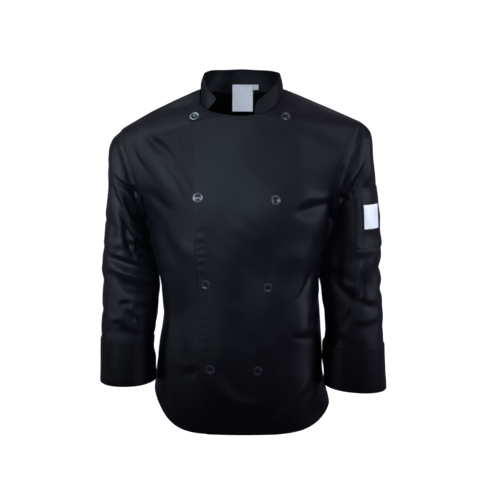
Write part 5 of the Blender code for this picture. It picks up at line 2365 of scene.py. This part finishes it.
@dataclass(frozen=True)
class Studio:
    """A pale room, soft lights and the camera."""

    camera_place: Triple = (0.017, -2.0, 0.0)
    camera_drop: float = 0.344
    lens: float = 67.97
    sensor: float = 36.0
    room: float = 12.0
    floor_z: float = -1.45
    floor_share: float = 0.98
    clip: tuple[float, float] = (0.05, 60.0)
    world: Triple = (0.79, 0.645, 1.0)
    world_power: float = 0.175
    lamps: tuple[Lamp, ...] = LAMPS

    def make(self) -> None:
        """Builds the room, the lights and the camera."""
        scene = bpy.context.scene
        self._room()
        for lamp in self.lamps:
            lamp.make()
        world = bpy.data.worlds.new("studio_air")
        world.use_nodes = True
        air = world.node_tree.nodes["Background"]
        air.inputs["Color"].default_value = (*self.world, 1.0)
        air.inputs["Strength"].default_value = self.world_power
        scene.world = world
        scene.view_settings.view_transform = "Standard"
        scene.view_settings.look = "None"
        data = bpy.data.cameras.new("front_view")
        data.lens = self.lens
        data.sensor_width = self.sensor
        data.clip_start, data.clip_end = self.clip
        camera = bpy.data.objects.new("front_view", data)
        camera.location = self.camera_place
        drop = math.atan2(self.camera_drop, -self.camera_place[1])
        camera.rotation_euler = (math.pi / 2 - drop, 0.0, 0.0)
        scene.collection.objects.link(camera)
        scene.camera = camera

    def _room(self) -> None:
        """Builds a pale room and its floor, which light nothing and show in no gloss."""
        pale, kit, shader = new_material("pale_room")
        kit.feed(shader, {
            "Base Color": (0.9, 0.9, 0.9, 1.0),
            "Roughness": 1.0,
            "Specular IOR Level": 0.0,
            "Emission Color": (1.0, 1.0, 1.0, 1.0),
            "Emission Strength": 1.0,
        })
        bpy.ops.mesh.primitive_uv_sphere_add(segments=48, ring_count=24, radius=self.room)
        wall = bpy.context.active_object
        wall.name = "room"
        bpy.ops.mesh.primitive_circle_add(vertices=64, radius=self.room * self.floor_share,
                                          fill_type="NGON", location=(0.0, 0.0, self.floor_z))
        floor = bpy.context.active_object
        floor.name = "floor"
        for item in (wall, floor):
            item.data.materials.append(pale)
            for ray in ("diffuse", "glossy", "shadow", "transmission"):
                setattr(item, "visible_" + ray, False)


class Jacket:
    """The whole jacket, piece by piece."""

    HALVES = ("_upper", "_lower")
    QUARTERS = ("_right_upper", "_right_lower", "_left_upper", "_left_lower")

    def __init__(self, palette: Palette) -> None:
        """Cuts the jacket's cloth."""
        self.palette = palette
        self.tailor = Tailor(Form(SIZES, STEPS), Sewing(), Pucker())

    def make(self) -> None:
        """Builds every piece in order."""
        self.tailor.fold()
        LOG.info("cloth folded")
        self._cloth()
        self._cuffs()
        self._sleeve_pocket()
        self._labels()
        self._buttons()

    def _cloth(self) -> None:
        """Builds the back, the fronts, the sleeves and the collar, with their stitches."""
        tailor, cloth, thread = self.tailor, self.palette.body, self.palette.thread
        right, left = tailor.sleeves[Side.RIGHT], tailor.sleeves[Side.LEFT]
        pieces = (
            (tailor.back, self.QUARTERS, Cut(0.56, 0.72, 0.342), ("collar_cloth",)),
            (tailor.front_right, self.HALVES, Cut(0.39, 0.72, 0.229), ("back_cloth",)),
            (tailor.front_left, self.HALVES, Cut(0.39, 0.72, 0.231), ("back_cloth",)),
            (right, self.HALVES, Cut(0.40, 0.55, 0.170), ("back_cloth", "front_right_cloth")),
            (left, self.HALVES, Cut(0.42, 0.58, 0.187), ("back_cloth", "front_left_cloth")),
        )
        for net, ends, cut, rests_on in pieces:
            ClothPiece(net, [net.name + end for end in ends], Slot.BODY, cloth, cut, rests_on).make()
        ClothPiece(tailor.collar, ["collar"], Slot.COLLAR, self.palette.collar, Cut(0.46, 0.050, 0.0166),
                   ("back_cloth",)).make()
        BODY_STITCHES.sew("body_stitches", tailor.stitch_paths(), thread)
        BODY_STITCHES.sew("collar_stitches", [tailor.inner_collar_path()], thread)

    def _cuffs(self) -> None:
        """Builds both cuffs with their stitches."""
        for side, cut in ((Side.RIGHT, Cut(0.38, 0.12, 0.041)), (Side.LEFT, Cut(0.40, 0.12, 0.0446))):
            cuff = Cuff(self.tailor, side)
            sleeve = "sleeve_" + side.name.lower() + "_cloth"
            ClothPiece(cuff.net, [cuff.net.name], Slot.CUFF, self.palette.cuff, cut, (sleeve,)).make()
            name = cuff.net.name + "_stitches"
            BODY_STITCHES.sew(name, cuff.stitch_paths(), self.palette.thread)

    def _sleeve_pocket(self) -> None:
        """Builds the sleeve pocket and the label that is sewn on it."""
        palette = self.palette
        pocket = SleevePocket(self.tailor)
        ClothPiece(pocket.net, ["sleeve_pocket"], Slot.BODY, palette.body, Cut(0.13, 0.13, 0.0154),
                   ("sleeve_left_cloth",), POCKET_CLOTH).make()
        BODY_STITCHES.sew("pocket_stitches", pocket.stitch_paths(), palette.thread)
        TACKS.sew("pocket_tacks", pocket.tack_paths(), palette.thread)
        out = PATCH_GAP + POCKET_CLOTH + PATCH_GAP + TAG_CLOTH
        tag = SleevePatch(self.tailor, "sleeve_label", TAG, out, *TAG_STEPS).net
        tag.push(TAG_CROWN * ease(tag.edge_gap / TAG_FADE) + TAG_LIFT)
        tag.across = tag.facing()
        ClothPiece(tag, ["sleeve_label"], Slot.LABEL, palette.label, Cut(0.045, 0.05, 0.0022),
                   ("sleeve_pocket_cloth",), TAG_CLOTH).make()
        paths = inset_paths(tag, tag.among(tag.edges), TAG_STITCH)
        LABEL_STITCHES.sew("sleeve_label_stitches", paths, palette.white_thread)

    def _labels(self) -> None:
        """Builds the neck label and its size tab, both bare."""
        paths = []
        for name, sizes, cut in (
            ("neck_label", (-0.021, 0.023, 0.006, -0.051), Cut(0.044, 0.057, 0.00251)),
            ("size_tab", (0.0235, 0.0355, 0.006, -0.005), Cut(0.012, 0.011, 0.00013)),
        ):
            label = InsideLabel(self.tailor, name, *sizes)
            ClothPiece(label.net, [name], Slot.LABEL, self.palette.neck_label, cut, ("collar_cloth",),
                       TAG_CLOTH).make()
            paths += label.stitch_paths()
        LABEL_STITCHES.sew("neck_label_stitches", paths, self.palette.white_thread)

    def _buttons(self) -> None:
        """Builds the eight buttons and their threads."""
        maker = ButtonMaker()
        paths = []
        for spot in BUTTON_SPOTS:
            button = maker.turned(spot.name + "_turned", self.palette.button)
            button.matrix_world = maker.place(self.tailor.front_left, spot)
            add_piece(button, [spot.name])
            paths += maker.threads(button.matrix_world)
        BUTTON_THREADS.sew("button_threads", paths, self.palette.thread)


def main() -> None:
    """Builds the jacket and its studio."""
    logging.basicConfig(level=logging.INFO, format="%(message)s")
    palette = Palette.make()
    Jacket(palette).make()
    LOG.info("pieces made")
    Studio().make()
    LOG.info("size kept")


if __name__ == "__main__":
    main()
